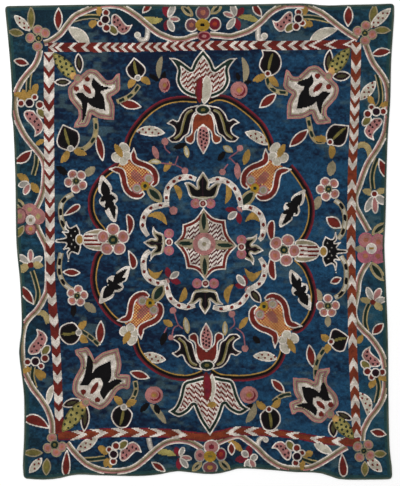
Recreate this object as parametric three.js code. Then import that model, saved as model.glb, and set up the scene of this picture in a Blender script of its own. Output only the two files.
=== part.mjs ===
// A hooked wool floor rug, one flat piece of worked cloth with its edge turned under as a hem.
// Millimetres, +Z up. The rug lies on z = 0 with the middle of its rectangle over the origin,
// its head towards +Y.
import * as THREE from "three";

// Driving dimensions
const WIDTH = 1833;
const LENGTH = 2241;
const HEM_HEIGHT = 4.2;
const PILE_HEIGHT = 8.6;
const CORNER_RADIUS = 16;
const CELL = 42;
const UNEVEN = 0.5;

// The section from the edge inwards: the rounded hem, then the shoulder of the pile.
const SECTION = [
  { inwards: 0, height: 1.8 },
  { inwards: 2.5, height: HEM_HEIGHT },
  { inwards: 8, height: HEM_HEIGHT },
  { inwards: 12, height: PILE_HEIGHT - 1.2 },
  { inwards: 18, height: PILE_HEIGHT },
];

// How far each side draws in from the rectangle. Along is from the left end or the foot end.
const HEAD_SIDE = [
  { along: 0, inset: 12 },
  { along: 120, inset: 10 },
  { along: 425, inset: 5 },
  { along: 690, inset: 4 },
  { along: 920, inset: 6 },
  { along: 1200, inset: 3 },
  { along: 1410, inset: 0 },
  { along: 1505, inset: 9 },
  { along: 1625, inset: 6 },
  { along: 1765, inset: 3 },
  { along: 1833, inset: 0 },
];
const FOOT_SIDE = [
  { along: 90, inset: 5 },
  { along: 190, inset: 0 },
  { along: 260, inset: 7 },
  { along: 330, inset: 23 },
  { along: 450, inset: 20 },
  { along: 635, inset: 17 },
  { along: 730, inset: 25 },
  { along: 810, inset: 40 },
  { along: 880, inset: 33 },
  { along: 965, inset: 26 },
  { along: 1035, inset: 34 },
  { along: 1097, inset: 52 },
  { along: 1247, inset: 46 },
  { along: 1370, inset: 35 },
  { along: 1445, inset: 34 },
  { along: 1506, inset: 26 },
  { along: 1567, inset: 3 },
  { along: 1740, inset: 0 },
  { along: 1823, inset: 2 },
];
const LEFT_SIDE = [
  { along: 0, inset: 90 },
  { along: 50, inset: 85 },
  { along: 205, inset: 91 },
  { along: 385, inset: 91 },
  { along: 460, inset: 84 },
  { along: 605, inset: 67 },
  { along: 680, inset: 77 },
  { along: 750, inset: 80 },
  { along: 930, inset: 72 },
  { along: 1115, inset: 55 },
  { along: 1410, inset: 50 },
  { along: 1670, inset: 40 },
  { along: 1735, inset: 31 },
  { along: 1790, inset: 35 },
  { along: 1975, inset: 25 },
  { along: 2241, inset: 0 },
];
const RIGHT_SIDE = [
  { along: 0, inset: 10 },
  { along: 50, inset: 10 },
  { along: 140, inset: 21 },
  { along: 385, inset: 27 },
  { along: 570, inset: 28 },
  { along: 750, inset: 32 },
  { along: 970, inset: 41 },
  { along: 1105, inset: 46 },
  { along: 1220, inset: 41 },
  { along: 1410, inset: 37 },
  { along: 1600, inset: 31 },
  { along: 1690, inset: 25 },
  { along: 1800, inset: 18 },
  { along: 1975, inset: 14 },
  { along: 2185, inset: 0 },
  { along: 2241, inset: 0 },
];

// Low swells of the pile, each a wave of this length across and along the rug.
const SWELLS = [
  { across: 410, along: 530, start: 0.4 },
  { across: -290, along: 370, start: 2.1 },
];

// A smooth line through a side's rows: a cubic between rows, with the slope of its neighbours.
function sideLine(rows) {
  const slope = rows.map((row, i) => {
    const before = rows[Math.max(i - 1, 0)];
    const after = rows[Math.min(i + 1, rows.length - 1)];
    return (after.inset - before.inset) / (after.along - before.along);
  });
  const lastSpan = rows.length - 2;
  return (along) => {
    const next = rows.findIndex((row) => row.along > along);
    const i = next < 0 ? lastSpan : THREE.MathUtils.clamp(next - 1, 0, lastSpan);
    const span = rows[i + 1].along - rows[i].along;
    const t = THREE.MathUtils.clamp((along - rows[i].along) / span, 0, 1);
    const ease = t * t * (3 - 2 * t);
    const bend = t * (1 - t) * span * (slope[i] * (1 - t) - slope[i + 1] * t);
    return rows[i].inset + (rows[i + 1].inset - rows[i].inset) * ease + bend;
  };
}

const headInset = sideLine(HEAD_SIDE);
const footInset = sideLine(FOOT_SIDE);
const leftInset = sideLine(LEFT_SIDE);
const rightInset = sideLine(RIGHT_SIDE);

// Grid lines over one span: close together over the section at both ends, then even.
function gridLines(span) {
  const edge = SECTION.map((step) => step.inwards);
  const inner = edge[edge.length - 1];
  const cells = Math.round((span - 2 * inner) / CELL);
  const even = Array.from(
    { length: cells - 1 },
    (_, i) => inner + ((i + 1) * (span - 2 * inner)) / cells,
  );
  const far = edge.map((inwards) => span - inwards).reverse();
  return [...edge, ...even, ...far];
}

// A corner of the rectangle pressed round: a square of the corner radius becomes a quarter disc.
function roundCorner(fromSide, fromEnd) {
  const a = Math.max(CORNER_RADIUS - fromSide, 0);
  const b = Math.max(CORNER_RADIUS - fromEnd, 0);
  const twice = 2 * CORNER_RADIUS * CORNER_RADIUS;
  return [
    a * (1 - Math.sqrt(1 - (b * b) / twice)),
    b * (1 - Math.sqrt(1 - (a * a) / twice)),
  ];
}

// A point of the rectangle, from its left foot corner, moved onto the drawn-in rug.
function placed(across, along) {
  const toRight = WIDTH - across;
  const toHead = LENGTH - along;
  const [shiftX, shiftY] = roundCorner(Math.min(across, toRight), Math.min(along, toHead));
  const x = across + (across < toRight ? shiftX : -shiftX);
  const y = along + (along < toHead ? shiftY : -shiftY);
  const left = leftInset(y);
  const right = WIDTH - rightInset(y);
  const drawnX = THREE.MathUtils.lerp(left, right, x / WIDTH);
  const foot = footInset(drawnX);
  const head = LENGTH - headInset(drawnX);
  return [drawnX, THREE.MathUtils.lerp(foot, head, y / LENGTH)];
}

// The height of the top at a point of the rectangle: the section by its nearest side, and swells.
function topHeight(across, along) {
  const inwards = Math.min(across, WIDTH - across, along, LENGTH - along);
  const outer = SECTION.findLastIndex((step) => step.inwards <= inwards + 1e-6);
  if (outer < SECTION.length - 1) return SECTION[outer].height;
  const swell = SWELLS.reduce(
    (sum, wave) =>
      sum + Math.sin(2 * Math.PI * (across / wave.across + along / wave.along) + wave.start),
    0,
  );
  return PILE_HEIGHT + (UNEVEN * swell) / SWELLS.length;
}

// The closed solid: the top grid, the thin side wall below its rim, and the flat underside,
// with the middle of its box over the origin.
function rugGeometry() {
  const columns = gridLines(WIDTH);
  const rows = gridLines(LENGTH);
  const points = [];
  const faces = [];
  for (const along of rows)
    for (const across of columns)
      points.push(new THREE.Vector3(...placed(across, along), topHeight(across, along)));

  const at = (column, row) => row * columns.length + column;
  for (let row = 0; row < rows.length - 1; row++)
    for (let column = 0; column < columns.length - 1; column++) {
      const a = at(column, row);
      const b = at(column + 1, row);
      const c = at(column + 1, row + 1);
      const d = at(column, row + 1);
      faces.push([a, b, c], [a, c, d]);
    }

  const lastColumn = columns.length - 1;
  const lastRow = rows.length - 1;
  const rim = [
    ...columns.slice(0, -1).map((_, i) => at(i, 0)),
    ...rows.slice(0, -1).map((_, i) => at(lastColumn, i)),
    ...columns.slice(0, -1).map((_, i) => at(lastColumn - i, lastRow)),
    ...rows.slice(0, -1).map((_, i) => at(0, lastRow - i)),
  ];
  const foot = rim.map((index) => {
    points.push(points[index].clone().setZ(0));
    return points.length - 1;
  });
  rim.forEach((index, i) => {
    const next = (i + 1) % rim.length;
    faces.push([foot[i], foot[next], rim[next]], [foot[i], rim[next], index]);
  });
  const outline = foot.map((index) => new THREE.Vector2(points[index].x, points[index].y));
  for (const [a, b, c] of THREE.ShapeUtils.triangulateShape(outline, []))
    faces.push([foot[a], foot[c], foot[b]]);

  const geometry = new THREE.BufferGeometry().setFromPoints(points);
  geometry.setIndex(faces.flat());
  geometry.computeBoundingBox();
  const middle = geometry.boundingBox.getCenter(new THREE.Vector3());
  geometry.translate(-middle.x, -middle.y, 0);
  geometry.computeVertexNormals();
  return geometry;
}

const wool = new THREE.MeshStandardMaterial({ color: 0x24466a, roughness: 0.95, metalness: 0 });

const rug = new THREE.Mesh(rugGeometry(), wool);
rug.name = "rug";

const part = new THREE.Group();
part.add(rug);

export default part;
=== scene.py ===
import bpy
import numpy as np
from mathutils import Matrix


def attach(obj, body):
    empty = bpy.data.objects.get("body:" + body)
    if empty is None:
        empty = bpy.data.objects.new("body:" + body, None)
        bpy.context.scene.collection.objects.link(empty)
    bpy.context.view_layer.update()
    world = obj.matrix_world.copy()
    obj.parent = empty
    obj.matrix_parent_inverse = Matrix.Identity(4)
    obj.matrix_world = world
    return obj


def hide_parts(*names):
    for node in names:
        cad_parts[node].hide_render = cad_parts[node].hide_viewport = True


# Sizes of the work, in metres
LOOP = 0.0047
HEM_TOP = 0.0042
PILE_TOP = 0.0086
PILE_INSET = 0.0105
SUNK = 0.0002
SWELL = 0.00025
SWELLS = (
    {"across": 0.410, "along": 0.530, "start": 0.4},
    {"across": -0.290, "along": 0.370, "start": 2.1},
)

# Sizes on the chart, in loops: its middle and half size, its cells, and the steps of a line and of
# an arc round a turn
MIDDLE = np.array([-0.35, 0.4])
CHART_HALF = np.array([200.0, 244.0])
CELL = 0.25
STEP = 0.2
ARC_STEP = 0.25

# Rows and stitches, in loops: rows worked along a line and level rows, the stitch of each, the
# shortest stretch that gets a stitch, and the squares of the charted fills
ROW = 1.3
ROW_STEP = 0.13
FILL_PITCH = 1.03
STITCH = 1.2
ROW_STITCH = STITCH * 0.93
SHORTEST = 0.3
CHECK_PITCH = 1.5
TULIP_PITCH = 1.28
STAR_PITCH = 1.12

# A loop of wool, as shares of its own length and width: half its length and width at the cloth,
# half its ridge, and the painted shade at its foot: how much darker its colour is painted there, in the
# valleys between loops
LOOP_LENGTH = 1.3
LOOP_WIDTH = 0.64
RIDGE = 0.45
FOOT_SHADE = 0.7

# How uneven the hand is in a loop's place, in loops, its heading, in radians, its width and its
# shade, as shares, and its height, in metres
UNEVEN_PLACE = 0.22
UNEVEN_TURN = 0.3
UNEVEN_WIDTH = 0.1
UNEVEN_SHADE = 0.22
UNEVEN_TOP = 0.0009

# Yarns: the dye of a clean loop and of a faded one
YARNS = {
    "cream": ("#f0e7dd", "#b9afa4"),
    "ivory": ("#cdc6b6", "#aba494"),
    "khaki": ("#a4967a", "#8a8168"),
    "rose": ("#bb7f7b", "#9c6e6a"),
    "pink": ("#b9697b", "#9e606d"),
    "clay": ("#b47258", "#97604a"),
    "crimson": ("#822331", "#68212d"),
    "brick": ("#7a2b24", "#63241e"),
    "rust": ("#8f4229", "#6f3120"),
    "orange": ("#a3432c", "#8a3926"),
    "gold": ("#b58e4a", "#95773d"),
    "yellow": ("#d6ad6c", "#ba9156"),
    "amber": ("#b8932f", "#96782c"),
    "olive": ("#847a41", "#686037"),
    "moss": ("#b1a564", "#91874f"),
    "straw": ("#b5a271", "#96865d"),
    "bronze": ("#4f4a30", "#403d2a"),
    "green": ("#22342b", "#19271f"),
    "plum": ("#2b1621", "#201017"),
    "dusk": ("#98616b", "#80525c"),
    "black": ("#141112", "#0d0c0e"),
    "bark": ("#7b6850", "#695945"),
    "mauve": ("#7d4b50", "#6a4248"),
    "maroon": ("#5a2125", "#471b20"),
    "grey": ("#aaa59c", "#908c85"),
    "edge": ("#27484a", "#223f41"),
    "ground": ("#1a3148", "#15283d"),
}
YARN_NUMBER = {name: number for number, name in enumerate(YARNS)}

SEED = 1927
rng = np.random.default_rng(SEED)


def linear(colour):
    """Linear light from an sRGB hex colour: each channel through the standard's toe or power."""
    value = np.array([int(colour[i : i + 2], 16) for i in (1, 3, 5)]) / 255
    return np.where(value <= 0.04045, value / 12.92, ((value + 0.055) / 1.055) ** 2.4)


NOISE_GRID = 64


def value_noise(x, y, size, seed):
    """Smooth noise from 0 to 1: random values at grid corners, eased between, squares of this size."""
    grid = np.random.default_rng(seed).random((NOISE_GRID, NOISE_GRID))
    gx = np.asarray(x) / size[0] + 31.7
    gy = np.asarray(y) / size[1] + 17.3
    column = np.floor(gx).astype(int)
    row = np.floor(gy).astype(int)
    u = gx - column
    v = gy - row
    u = u * u * (3 - 2 * u)
    v = v * v * (3 - 2 * v)
    a = grid[row % NOISE_GRID, column % NOISE_GRID]
    b = grid[row % NOISE_GRID, (column + 1) % NOISE_GRID]
    c = grid[(row + 1) % NOISE_GRID, column % NOISE_GRID]
    d = grid[(row + 1) % NOISE_GRID, (column + 1) % NOISE_GRID]
    return (a * (1 - u) + b * u) * (1 - v) + (c * (1 - u) + d * u) * v


# Lines and shapes on the chart


def even(points, closed=False):
    """The same line with points at even steps: places at equal shares of its whole length."""
    points = np.asarray(points, float)
    if closed:
        points = np.vstack([points, points[:1]])
    run = np.concatenate([[0], np.cumsum(np.hypot(*np.diff(points, axis=0).T))])
    count = max(int(round(run[-1] / STEP)), 4)
    at = np.linspace(0, run[-1], count + 1)
    if closed:
        at = at[:-1]
    return np.column_stack([np.interp(at, run, points[:, 0]), np.interp(at, run, points[:, 1])])


def line(knots, closed=False):
    """A smooth line through knots: a cubic whose slope at a knot is half the way between the
    knots beside it, with a corner where a knot is given twice, set out at even steps."""
    p = np.asarray(knots, float)
    if closed:
        p = np.vstack([p[-1:], p, p[:2]])
    else:
        p = np.vstack([2 * p[:1] - p[1:2], p, 2 * p[-1:] - p[-2:-1]])
    a, b, c, d = p[:-3], p[1:-2], p[2:-1], p[3:]
    real = np.hypot(*(c - b).T) > 1e-6
    a, b, c, d = a[real], b[real], c[real], d[real]
    t = np.linspace(0, 1, 20, endpoint=False)[:, None, None]
    curve = b + t * (c - a) / 2 + t**2 * (a - 2.5 * b + 2 * c - d / 2)
    curve = curve + t**3 * (1.5 * (b - c) + (d - a) / 2)
    points = curve.transpose(1, 0, 2).reshape(-1, 2)
    if not closed:
        points = np.vstack([points, c[-1:]])
    return even(points, closed)


def normals(points, closed=False):
    """Unit normals to the left of a line: the way between a point's neighbours, turned a quarter."""
    if closed:
        way = np.roll(points, -1, 0) - np.roll(points, 1, 0)
    else:
        way = np.gradient(points, axis=0)
    way = way / np.maximum(np.hypot(*way.T), 1e-9)[:, None]
    return np.column_stack([-way[:, 1], way[:, 0]])


def doubled_area(edge):
    """Twice the area in a closed line, above 0 where it runs anticlockwise: the sum of the cross
    products of its points with the next."""
    following = np.roll(edge, -1, 0)
    return np.sum(edge[:, 0] * following[:, 1] - edge[:, 1] * following[:, 0])


def inset(edge, by):
    """A closed line moved inwards by a distance: each point goes along the normals of the sides
    before and after it, and along an arc between them where the line turns."""
    step = np.roll(edge, -1, 0) - edge
    inward = np.arctan2(step[:, 1], step[:, 0]) + np.copysign(np.pi / 2, doubled_area(edge))
    before = np.roll(inward, 1)
    turn = (inward - before + np.pi) % (2 * np.pi) - np.pi
    count = 1 + (np.abs(turn) * by / ARC_STEP).astype(int)
    point = np.repeat(np.arange(len(edge)), count)
    share = (np.arange(len(point)) - np.repeat(np.cumsum(count) - count, count) + 0.5) / count[point]
    angle = before[point] + turn[point] * share
    return edge[point] + by * np.stack([np.cos(angle), np.sin(angle)], 1)


def leaf(base, tip, width, bend=0.0, ends=(1.0, 1.0)):
    """A leaf: half its width goes as t to one power times (1 - t) to another, over a middle line
    bent sideways as a parabola. Powers of 1 give a point at that end and powers of 0.5 a round."""
    base = np.asarray(base, float)
    reach = np.asarray(tip, float) - base
    side = np.array([-reach[1], reach[0]]) / np.hypot(*reach)
    p, q = ends
    t = (1 - np.cos(np.linspace(0, np.pi, 33))) / 2
    most = (p / (p + q)) ** p * (q / (p + q)) ** q
    half = t**p * (1 - t) ** q / most * width / 2
    middle = base + t[:, None] * reach + (4 * bend * t * (1 - t))[:, None] * side
    one = middle + half[:, None] * side
    other = middle - half[:, None] * side
    return even(np.vstack([one, other[-2:0:-1]]), closed=True)


def disc(at, across, high=None, turn=0.0):
    """An ellipse of these half sizes, turned by so many degrees."""
    a = np.linspace(0, 2 * np.pi, 48, endpoint=False)
    x = across * np.cos(a)
    y = (across if high is None else high) * np.sin(a)
    c, s = np.cos(np.radians(turn)), np.sin(np.radians(turn))
    return even(np.column_stack([at[0] + c * x - s * y, at[1] + s * x + c * y]), closed=True)


def along_line(path, widths):
    """The width at each point of a line: even shares from end to end have these, straight between."""
    return np.interp(np.linspace(0, 1, len(path)), np.linspace(0, 1, len(widths)), widths)[:, None]


def ribbon(path, widths):
    """A band along a line: half its width to either side, by these widths from end to end."""
    half = along_line(path, widths) / 2
    side = normals(path)
    return even(np.vstack([path + half * side, (path - half * side)[::-1]]), closed=True)


def both_sides(half):
    """A closed row of knots from half of it: the given side, then the same mirrored and reversed."""
    half = np.asarray(half, float)
    return np.vstack([half, (half * (1, -1))[::-1]])


class Place:
    """Where a motif stands on the chart: drawn from (0, 0) to (length, 0), it's turned and scaled so
    that those points fall on base and tip. A hand of -1 mirrors it."""

    def __init__(self, base, tip, length, hand=1):
        self.base = np.asarray(base, float)
        along = (np.asarray(tip, float) - self.base) / length
        across = hand * np.array([-along[1], along[0]])
        self.grid = np.array([along, across])
        self.scale = np.hypot(*along)
        self.turn = np.degrees(np.arctan2(along[1], along[0]))

    def __call__(self, points):
        """Points of the motif on the chart."""
        return self.base + np.asarray(points, float) @ self.grid

    def back(self, x, y):
        """Chart points as loops along and across the motif."""
        return (np.column_stack([x, y]) - self.base) @ self.grid.T / self.scale


# Fills that change from loop to loop. A charted one is its pitch and a rule for each square of it.


def zigzag(yarns, hand, pitch):
    """Bands two squares deep that climb to the right, or with a hand of -1 to the left: a square up
    for each square across, but one down at every fifth."""

    def rule(i, j):
        climb = hand * i - 2 * (hand * i // 5)
        return np.where((j - climb) % 4 < 2, YARN_NUMBER[yarns[0]], YARN_NUMBER[yarns[1]])

    return pitch, rule


def check(yarns):
    """Squares of two yarns by turns: the sum of the numbers across and up is even or odd."""

    def rule(i, j):
        return np.where((i + j) % 2 == 0, YARN_NUMBER[yarns[0]], YARN_NUMBER[yarns[1]])

    return CHECK_PITCH, rule


def stripes(place, edges, yarns):
    """Stripes along a motif: the yarn changes where the distance from its middle line passes an edge."""

    def pick(x, y):
        across = place.back(x, y)[:, 1]
        return np.array([YARN_NUMBER[name] for name in yarns])[np.searchsorted(edges, across)]

    return pick


class Chart:
    """The chart as cells of a quarter of a loop, each with the number of the topmost thing there,
    and the rows of loops that were worked along lines."""

    def __init__(self):
        size = np.round(2 * CHART_HALF / CELL).astype(int)
        self.top = np.zeros((size[1], size[0]), np.int32)
        self.yarn = [None]
        self.worked = []

    def new(self, yarn):
        """A new number for something of this yarn."""
        self.yarn.append(yarn)
        return len(self.yarn) - 1

    def cells(self, x, y):
        """The row and column of the cells that hold these points."""
        column = np.floor((x + CHART_HALF[0]) / CELL).astype(int)
        row = np.floor((y + CHART_HALF[1]) / CELL).astype(int)
        return (
            np.clip(row, 0, self.top.shape[0] - 1),
            np.clip(column, 0, self.top.shape[1] - 1),
        )

    def area(self, edge, yarn, start=False):
        """Fills inside a closed line: along a line of cells each crossing of the edge turns inside
        to outside, so a cell is inside after an odd number. Only the rug's own cells take it."""
        number = self.new(yarn)
        (row0, row1), (col0, col1) = self.cells(
            np.array([edge[:, 0].min(), edge[:, 0].max()]),
            np.array([edge[:, 1].min(), edge[:, 1].max()]),
        )
        height, width = row1 - row0 + 1, col1 - col0 + 1
        middle_y = (np.arange(row0, row1 + 1) + 0.5) * CELL - CHART_HALF[1]
        ax, ay = edge.T
        bx, by = np.roll(edge, -1, 0).T
        side, row = np.nonzero((ay[:, None] <= middle_y) != (by[:, None] <= middle_y))
        share = (middle_y[row] - ay[side]) / (by[side] - ay[side])
        x = ax[side] + share * (bx[side] - ax[side])
        column = np.ceil((x + CHART_HALF[0]) / CELL - 0.5).astype(int) - col0
        turns = np.zeros((height, width + 1), int)
        np.add.at(turns, (row, np.clip(column, 0, width)), 1)
        inside = np.cumsum(turns, 1)[:, :-1] % 2 == 1
        part = self.top[row0 : row1 + 1, col0 : col1 + 1]
        part[inside & ((part > 0) | start)] = number

    def row(self, path, yarn, closed=False, keep=None):
        """One row of loops along a line: the cells within half a row of it are its own, and a loop
        stands at each even share of its length. Keep says which of its points are worked."""
        number = self.new(yarn)
        side = normals(path, closed)
        if keep is None:
            keep = np.ones(len(path), bool)
        spread = np.arange(-ROW / 2, ROW / 2 + 0.01, ROW_STEP)
        cover = path[keep][:, None] + side[keep][:, None] * spread[:, None]
        row, column = self.cells(cover[..., 0].ravel(), cover[..., 1].ravel())
        free = self.top[row, column] > 0
        self.top[row[free], column[free]] = number
        ends = np.vstack([path, path[:1]]) if closed else path
        run = np.concatenate([[0], np.cumsum(np.hypot(*np.diff(ends, axis=0).T))])
        count = max(int(round(run[-1] / ROW_STITCH)), 1)
        at = (np.arange(count) + 0.5) / count * run[-1]
        near = np.minimum(np.searchsorted(run, at), len(path) - 1)
        x = np.interp(at, run, ends[:, 0])[keep[near]]
        y = np.interp(at, run, ends[:, 1])[keep[near]]
        heading = np.arctan2(side[near, 1], side[near, 0])[keep[near]] - np.pi / 2
        half = np.full(len(x), run[-1] / count / 2)
        self.worked.append((x, y, heading, half, np.full(len(x), number)))

    def rows_in(self, edge, yarns):
        """Rows side by side inwards from a closed line. A row's point is worked where it's really
        that far from the whole line, so that rows meet cleanly in points and notches."""
        for number in reversed(range(len(yarns))):
            deep = ROW * (number + 0.5)
            path = inset(edge, deep)
            gap = path[:, None] - edge[None, ::2]
            near = np.sqrt(np.min(np.sum(gap * gap, axis=2), axis=1))
            keep = near > deep - CELL
            if keep.sum() > 2:
                self.row(path, yarns[number], closed=True, keep=keep)

    def shape(self, edge, fill, rim=("cream",)):
        """A filled shape with rows of loops just inside its edge."""
        self.area(edge, fill)
        self.rows_in(edge, rim)

    def stem(self, path, yarns):
        """Rows side by side along an open line, the first on its left."""
        side = normals(path)
        for number, yarn in enumerate(yarns):
            self.row(path + side * ROW * ((len(yarns) - 1) / 2 - number), yarn)

    def spots(self, path, shares, size, yarn):
        """Small oval spots at shares of a line's length, turned along it."""
        side = normals(path)
        for share in shares:
            i = int(round(share * (len(path) - 1)))
            turn = np.degrees(np.arctan2(side[i, 1], side[i, 0])) - 90
            self.area(disc(path[i], size[0], size[1], turn), yarn)


chart = Chart()


# Leaves and small parts: fill, rows round the edge, and the powers of the ends

KINDS = {
    "red": ("brick", ("cream",), (1.0, 1.0)),
    "club": ("brick", ("cream",), (0.9, 0.45)),
    "dark": ("plum", ("cream",), (0.8, 0.8)),
    "gold": ("gold", (), (0.8, 0.8)),
    "straw": ("straw", (), (0.8, 0.8)),
    "pale": ("ivory", ("straw",), (0.8, 0.8)),
    "moss": ("moss", (), (0.7, 0.7)),
    "olive": ("olive", ("khaki",), (0.9, 0.9)),
    "green": ("green", ("straw", "khaki"), (0.7, 0.7)),
    "ivory": ("ivory", ("cream",), (0.8, 0.7)),
    "khaki": ("khaki", (), (0.7, 0.7)),
    "black": ("black", (), (0.8, 0.8)),
    "rose": ("rose", (), (0.7, 0.7)),
    "crimson": ("crimson", (), (0.9, 0.9)),
    "white petal": ("grey", ("cream",), (0.7, 0.6)),
    "pink petal": ("rose", ("cream",), (0.7, 0.6)),
}


def put_leaf(kind, base, tip, width, bend=0.0):
    """A leaf or petal of one of the kinds. A dark one has a bronze heart."""
    fill, rim, ends = KINDS[kind]
    chart.shape(leaf(base, tip, width, bend, ends), fill, rim)
    if kind == "dark":
        base, tip = np.array(base, float), np.array(tip, float)
        chart.area(leaf(base * 0.78 + tip * 0.22, base * 0.22 + tip * 0.78, width * 0.36), "bronze")


def spotted_leaf(base, tip, width, bend):
    """An ivory leaf with red spots in two staggered lines beside its middle, at even shares of
    its length."""
    chart.shape(leaf(base, tip, width, bend, (0.8, 0.8)), "ivory")
    base = np.asarray(base, float)
    reach = np.asarray(tip, float) - base
    length = np.hypot(*reach)
    side = np.array([-reach[1], reach[0]]) / length
    for number, share in enumerate(np.arange(3.5, length - 4, 3.2) / length):
        off = 4 * bend * share * (1 - share) + (0.2 if number % 2 else -0.2) * width * 0.8
        chart.area(disc(base + reach * share + side * off, 1.1), "brick")


def cone_leaf(base, tip, width):
    """A broad moss-green leaf with dark spots set like bricks, three across at its middle, and a
    gold foot."""
    place = Place(base, tip, 30)
    chart.shape(leaf(base, tip, width, 0.0, (0.55, 0.75)), "moss", ("olive",))
    chart.area(disc(place((2.5, 0)), 3.4, 3.8), "yellow")
    for u, v in ((6, -2.2), (6.5, 2.4), (10.5, -4.4), (11, 0.2), (10.5, 4.8), (15, -2.4), (15.5, 2.4)):
        chart.area(disc(place((u, v)), 1.3), "green")
    for u, v in ((19.5, -4.2), (20, 0.2), (19.5, 4.6), (24, -2), (24.5, 2)):
        chart.area(disc(place((u, v)), 1.2), "green")


def round_petal(at, wide, high, turn, fill, rim, heart):
    """A round petal with its outline and a small heart of another yarn."""
    chart.shape(disc(at, wide, high, turn), fill, (rim,))
    chart.area(disc(at, wide * 0.34, high * 0.34, turn), heart)


def rosette(at, reach, size, headings, eye, rim="cream"):
    """Round outlined petals at these headings about an eye of green and olive."""
    at = np.array(at, float)
    for heading in headings:
        a = np.radians(heading)
        petal_at = at + reach * np.array([np.cos(a), np.sin(a)])
        round_petal(petal_at, size, size * 1.08, heading, "rose", rim, "clay")
    chart.area(disc(at, eye + 0.9), "khaki")
    chart.area(disc(at, eye), "green")
    chart.area(disc(at, eye * 0.4), "olive")


def star_flower(at, petals):
    """A small flower: leaves of several kinds from one point, each given by its tip from there."""
    at = np.array(at, float)
    for kind, across, up, width in petals:
        tip = np.array([across, up], float)
        put_leaf(kind, at + tip * 0.08, at + tip, width * 1.2)


def guard_band(path, widths, axis, fill, edges, heads):
    """A band along a line with cream arrow heads. Each set of heads has its way along the line, how
    far behind a point its sides, its notch and then its ends lie, and where the points are on the
    chart's axis."""
    chart.area(ribbon(path, widths), fill)
    side = normals(path)
    half = along_line(path, widths) / 2
    for yarn in edges:
        for sign in (1, -1):
            chart.row(path + sign * side * (half - 0.6), yarn)
    for way, lead, notch, back, points in heads:
        end = -notch - back
        head = np.array([(0, 0), (-lead, 1), (end, 1), (-notch, 0), (end, -1), (-lead, -1)])
        for point in points:
            at = np.argmin(np.abs(path[:, axis] - point))
            i = np.clip(at + np.round(way * head[:, 0] / STEP).astype(int), 0, len(path) - 1)
            edge = path[i] + side[i] * head[:, 1:] * half[i]
            chart.area(even(edge, closed=True), "cream")


def corner_lily(base, tip, lobes):
    """The big three-lobed flower of the corners: a curling lobe either side, drawn out to its own
    tip, and a pointed middle one, in cream with rows of rose, khaki and a dusky rose. The black has a horn
    beside the foot and a point in each lobe, joined by a leaf where the lobe has a width for it, and
    the foot has red spots."""
    place = Place(base, tip, 54)
    half = [(-4, 6), (-3, 14.5), (4, 20.5), (14, 21.5), (19, 22), (23, 27), (23, 34), (25, 38)]
    half += [(25, 38), (31, 32), (36, 26), (35.5, 19), (33.5, 13.5), (33.5, 13.5), (43, 10), (54, 0)]
    half = np.array(half, float)
    outer, inner, joined = [], [], []
    for u, v, black_u, black_v, wide in lobes:
        sign = np.sign(v)
        far = np.clip((half[:, 1] - 12) / 26, 0, 1)
        along = half[:, 0] + (u - 25) * far
        across = half[:, 1] * (1 + (abs(v) / 38 - 1) * far) * sign
        outer.append(np.column_stack([along, across]))
        near = [(22.5, 0), (18, 5), (10.5, 6.5), (6.5, 12.8), (6.5, 12.8), (12, 13), (19.5, 14.5)]
        rest = [(black_u - 3.5, black_v - 7.5), (22, 8.5), (22, 8.5), (29, 7.5), (40.5, 0)]
        inner.append(np.array([*near, (black_u, black_v), (black_u, black_v), *rest]) * (1, sign))
        if wide:
            foot, end = place((8, 9.6 * sign)), place((black_u, (black_v - 2.6) * sign))
            joined.append(leaf(foot, end, wide, -1.6 * sign, (0.6, 0.6)))
    edge, black = (line(place(np.vstack([a, b[::-1]])), closed=True) for a, b in (outer, inner))
    chart.shape(edge, "cream", ("rose", "khaki", "dusk", "khaki"))
    for part in (black, *joined):
        chart.area(part, "black")
    for u, v in ((3.5, 7), (3.5, -8)):
        chart.area(disc(place((u, v)), 2.7), "brick")
    chart.area(leaf(place((5, 0)), place((17.5, 0)), 5, 0, (0.6, 0.6)), "brick")
    chart.shape(disc(place((-3.5, 0)), 4.2), "khaki", ("rose",))


# The far ends of the dark buds, as knots
BUD_ENDS = {
    "round": [(21, 7.5), (25, 2), (24.5, -4), (21, -8)],
    "point": [(20, 6.5), (26, 0), (26, 0), (20, -5.5)],
    "corner": [(21, 8), (25, 2), (24, -6), (23, -11.5), (23, -11.5), (18, -9)],
}


def dark_bud(base, tip, hand, end, eye, plump):
    """A black bud with a gold middle line, an eye at its foot and two gold sepals behind it."""
    place = Place(base, tip, 25, hand)
    for sign in (1, -1):
        put_leaf("gold", place((1, 2 * sign)), place((-8.5, 13 * sign)), 7, -sign)
    body = [(-1, 0), (2, 7), (8, 10.8), (15, 11), *BUD_ENDS[end], (12, -10.3), (5, -9)]
    chart.shape(line(place(np.array(body) * (1, plump)), closed=True), "black", ("cream", "plum"))
    chart.area(leaf(place((4, 0)), place((22, 0.5)), 2.9, 0.6, (0.4, 0.4)), "olive")
    chart.shape(disc(place((1.5, 0)), 3.4), eye)


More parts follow.
